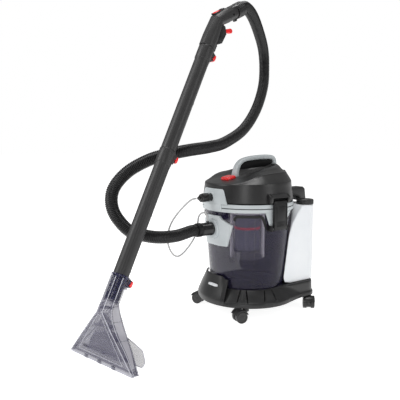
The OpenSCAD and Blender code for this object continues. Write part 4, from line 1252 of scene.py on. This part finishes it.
def nozzle_at(a, t, inset=0.0):
    """A place on the nozzle: a is the angle round the neck from its front, t is 0 at the neck
    and 1 at the mouth."""
    b = abs(a)
    keys = sorted(LINES)
    k = max(i for i in range(5) if keys[i] <= b + 1e-9)
    f = (b - keys[k]) / (keys[k + 1] - keys[k])
    pts = [on_line(LINES[keys[max(0, min(5, i))]], t) for i in (k - 1, k, k + 1, k + 2)]
    q = pts[1].lerp(pts[2], f)
    if k >= 2 and t >= 0.001:
        f2, f3 = f * f, f * f * f
        m1, m2 = (pts[2] - pts[0]) * 0.5, (pts[3] - pts[1]) * 0.5
        if k == 2:
            m1 = pts[2] - pts[1]
        q = (pts[1] * (2 * f3 - 3 * f2 + 1) + m1 * (f3 - 2 * f2 + f)
             + pts[2] * (3 * f2 - 2 * f3) + m2 * (f3 - f2))
    # at the neck the outline is round, and it leaves that shape over the first stretch
    neck = AT_S @ polar(NECK_R, b, NECK_S)
    if t <= 0:
        q = neck
    elif t < ROUND_TO:
        middle = LINES[0 if b < 90 else 180]
        carried = neck + (on_line(middle, t) - middle[0][1])
        q = q.lerp(carried, ease(1 - t / ROUND_TO) * 0.5)
    q = q - polar(1, b, 0) * inset
    return Vector((-q.x, q.y, q.z)) if a < 0 else q


def nozzle():
    angles = []
    for lo, hi, k in ((0, 22, 10), (22, 26, 4), (26, 66, 8), (66, 74, 4), (74, 150, 12),
                      (150, 160, 4),
                      (160, 180, 8)):
        angles += [lo + (hi - lo) * i / k for i in range(k)]
    angles = angles + [180.0] + [-a for a in angles[:0:-1]]
    ts = sorted(set([round(i / 32.0, 5) for i in range(33)] + [0.14, 0.30, 0.295, 0.305, 0.31,
                                                               0.32]))

    def crease(a, t):
        """Shallow steps: a sunk front panel, raised edge lines and flank ribs."""
        d = 0.0
        b = abs(a)
        if t > 0.3:
            wide = 22.6 - 1.2 / max(0.12, t - 0.28)
            d -= 1.1 * ease((t - 0.34) / 0.04) * ease((wide - b) / 0.9) * ease((0.965 - t) / 0.015)
        d += 0.8 * ease(1 - abs(b - 24) / 1.8)
        d += 0.5 * ease(1 - abs(b - 70) / 3.5)
        return d

    p = Piece("nozzle_shell")
    rows = []
    for t in ts:
        row = []
        for a in angles:
            q = nozzle_at(a, t)
            c = nozzle_at(0, t) if abs(a) < 90 else nozzle_at(180, t)
            out = AT_S.to_3x3() @ polar(1, a, 0)
            if abs(a) < 22 or abs(a) > 158:
                out = Vector((0, -1 if abs(a) < 90 else 1, 0.35 if abs(a) < 90
                              else -0.2)).normalized()
            row.append(q + out * crease(a, t))
        rows.append(row)
    inner = [[nozzle_at(a, t, 2.4) for a in angles] for t in ts[::-1]]
    rows += inner + [rows[0]]
    p.add(skin(rows, ends=(False, False)), NOZ, IN_W)
    # raised lines and the frame of the front panel, drawn pale: painted highlights along the
    # ridges
    for s in (-1, 1):
        line = [nozzle_at(s * 24, t) for t in ts]
        p.add(tube(line, 1.25, 10), NOZ_EDGE_HIGHLIGHT, IN_W)
        p.add(tube([nozzle_at(s * 70, t, -0.3) for t in ts], 0.9, 10), NOZ_EDGE_HIGHLIGHT, IN_W)
        p.add(tube([nozzle_at(s * 155, t) for t in ts], 1.0, 10), NOZ_EDGE_HIGHLIGHT, IN_W)
        # a pale band down the flank: painted highlight where the duct wall catches the light
        band = [[nozzle_at(s * a, t, -0.25) for a in (76, 80, 85, 90, 95, 100, 105, 108)]
                for t in ts
                if 0.13 <= t <= 0.93]
        p.add(skin(band, wrap=False, ends=(False, False)), NOZ_FLANK_HIGHLIGHT, IN_W)
        inside = [nozzle_at(s * (20.6 - 1.0 / (t - 0.28)), t, 0.2) for t in
                  [0.345 + 0.58 * i / 24 for i in range(25)]]
        p.add(tube(inside, 0.8, 10), NOZ_EDGE_HIGHLIGHT, IN_W)
    low = [nozzle_at(a, 0.925, 0.2) for a in [19 * i / 12.0 for i in range(-12, 13)]]
    p.add(tube(low, 0.8, 10), NOZ_EDGE_HIGHLIGHT, IN_W)
    # cross ribs on the two flanks
    for s in (-1, 1):
        for t in (0.16, 0.36, 0.6, 0.94):
            p.add(tube([nozzle_at(s * a, t) for a in range(28, 154, 6)], 0.8, 10), NOZDARK, IN_W)
    # screw bosses inside
    for x, t in ((6, 0.2), (-6, 0.2), (15, 0.5), (-15, 0.5), (19, 0.86), (-19, 0.86), (3, 0.86)):
        a, b = nozzle_at(x, t), nozzle_at(180 - x, t)
        p.add(tube([a.lerp(b, 0.06), a.lerp(b, 0.5), a.lerp(b, 0.94)], 4.0, 20), NOZDARK, IN_W)
    # suction slot wall behind the front panel
    p.add(skin([[nozzle_at(a, t).lerp(nozzle_at(math.copysign(180 - abs(a), a), t), f)
                 for t in [0.3 + 0.6 * i / 10 for i in range(11)]] for a, f in
                ((-15, 0.42), (-14, 0.46), (14, 0.46), (15, 0.42))], wrap=False,
               ends=(False, False)),
          NOZDARK, IN_W)
    p.done("machine", ["nozzle_body"], "smoke_clear", angle=34)

    # neck: a round socket with raised lines and a rolled rim
    q = Piece("nozzle_socket")
    rows = []
    for s, r in ((194.4, 25.8), (200, 25.8), (240, 25.9), (256, 26), (258.5, 26), (259.5, 26.6),
                 (264, 26.7),
                 (265, 26.2), (265, 22.6), (262, 22.2), (194.4, 22.2)):
        row = []
        for i in range(120):
            a = 3.0 * i
            ribs = sum(ease(1 - abs((a - at + 180) % 360 - 180) / 4.5)
                       for at in (24, -24, 70, -70, 155, -155))
            k = r + (0.9 * min(1, ribs) if r > 25 and s < 258 else 0)
            row.append(polar(k, a, s))
        rows.append(row)
    rows.append(rows[0])
    q.add(skin(rows, ends=(False, False)), NOZNECK, IN_S)
    # pale lines on the neck's ridges: painted highlights
    for at in (24, -24, 70, -70):
        q.add(tube([polar(26.4, at, s) for s in (195, 210, 230, 257)], 1.0, 10), NOZ_EDGE_HIGHLIGHT, IN_S)
    q.add(ring(22.3, 26.9, 260.4, 264.6, 96, 0.5), NOZDARK, IN_S)
    seat(q, S_LOW, 31, NOZDARK)
    q.done("machine", ["nozzle_neck"], "smoke_clear", angle=34)

    # pale strip round the mouth: painted highlight along the lip
    m = Piece("mouth_strip")
    outer = [(x, y + 4.6) for x, y in oval(138, 9.4, 96, 14)]
    inner = [(x, y + 4.6) for x, y in oval(132.6, 4.6, 96, 14)]
    rows = [[Vector((x, y, z)) for x, y in o] for o, z in
            ((inner, 0.4), (outer, 0.2), (outer, 2.8), (inner, 3.2))]
    m.add(skin(rows + [rows[0]], ends=(False, False)), NOZ_EDGE_HIGHLIGHT, IN_W)
    m.box((-134, 134, -5.0, -3.4, 3.4, 7), (0.4, 1), NOZ_EDGE_HIGHLIGHT, IN_W)
    for x in (-61, 0, 61):
        m.box((x - 7, x + 7, -6.4, -3.0, 0.3, 9.6), 0.9, NOZDARK, IN_W)
    m.done("machine", ["mouth_lip"], "smoke_clear", angle=36)

    # clear spray guard with a turned rim, and its bracket
    g = Piece("clear_spray_guard")
    half = [(108, 4), (114, 5.2), (118.5, 10), (121, 17), (121.4, 21), (119, 26), (105.5, 45),
            (101, 48),
            (46, 62.6), (38, 64)]
    outline = half + [(-x, z) for x, z in half[::-1]]
    tilt = T((0, 48, 0)) @ R(rad(-16.7), 4, "X")
    g.add(bev(along_y(outline, -1.4, 1.4), 0.9, 3, 50), CLEAR, IN_W @ tilt)
    edge = [Vector((x, 0, z)) for x, z in outline + outline[:1]]
    # the rim is a pale tube: painted highlight along the turned edge
    g.add(tube(edge, 1.2, 10), NOZ_EDGE_HIGHLIGHT, IN_W @ tilt)
    g.box((-34, 34, 24, 61, 58.2, 61.8), 1.0, NOZ, IN_W)
    g.done("machine", ["spray_guard"], "clear_plastic", angle=30)
    rounded("spray_jet", "spray_jet_tip", 0.9, GLOSS, "machine", "black_plastic")


wand_tube("lower_tube", S_LOW, S_MID, 78, "machine")
wand_tube("upper_tube", S_MID, S_TOP, 40, "machine")
levers()
handle()
nozzle()


# ---- studio
def studio():
    sc.view_settings.view_transform = "Standard"
    world = bpy.data.worlds.new("studio")
    sc.world = world
    world.use_nodes = True
    nt = world.node_tree
    bg = nt.nodes["Background"]
    path = nt.nodes.new("ShaderNodeLightPath")
    mix = nt.nodes.new("ShaderNodeMix")
    mix.data_type = "FLOAT"
    mix.inputs["A"].default_value = 0.34
    mix.inputs["B"].default_value = 1.0
    nt.links.new(path.outputs["Is Camera Ray"], mix.inputs["Factor"])
    nt.links.new(mix.outputs["Result"], bg.inputs["Strength"])
    bg.inputs["Color"].default_value = (1, 1, 1, 1)

    m = bpy.data.materials.new("pale_floor")
    m.use_nodes = True
    p = m.node_tree.nodes["Principled BSDF"]
    p.inputs["Base Color"].default_value = (0.6, 0.6, 0.6, 1)
    p.inputs["Roughness"].default_value = 0.9
    p.inputs["Specular IOR Level"].default_value = 0.1
    p.inputs["Emission Color"].default_value = (1, 1, 1, 1)
    p.inputs["Emission Strength"].default_value = 0.9
    m.cycles.emission_sampling = "NONE"
    me = bpy.data.meshes.new("floor")
    me.from_pydata([(-14, -14, 0), (14, -14, 0), (14, 14, 0), (-14, 14, 0)], [], [(0, 1, 2, 3)])
    me.materials.append(m)
    floor = bpy.data.objects.new("floor", me)
    sc.collection.objects.link(floor)

    def area(name, at, to, size, power):
        d = bpy.data.lights.new(name, "AREA")
        d.shape = "RECTANGLE"
        d.size, d.size_y = size
        d.energy = power
        o = bpy.data.objects.new(name, d)
        o.location = at
        o.rotation_mode = "QUATERNION"
        o.rotation_quaternion = (Vector(to) - Vector(at)).to_track_quat("-Z", "Y")
        o.visible_camera = False
        sc.collection.objects.link(o)

    area("key", (-0.9, -2.6, 2.3), (0.05, -0.2, 0.45), (1.3, 1.9), 46)
    area("front", (2.3, -2.5, 1.4), (0.1, -0.3, 0.5), (0.8, 2.2), 19)
    area("fill", (2.9, 0.9, 1.6), (0, 0, 0.45), (0.9, 1.9), 16)
    area("top", (-0.1, -0.1, 3.0), (0, 0, 0.4), (1.6, 1.6), 46)


studio()
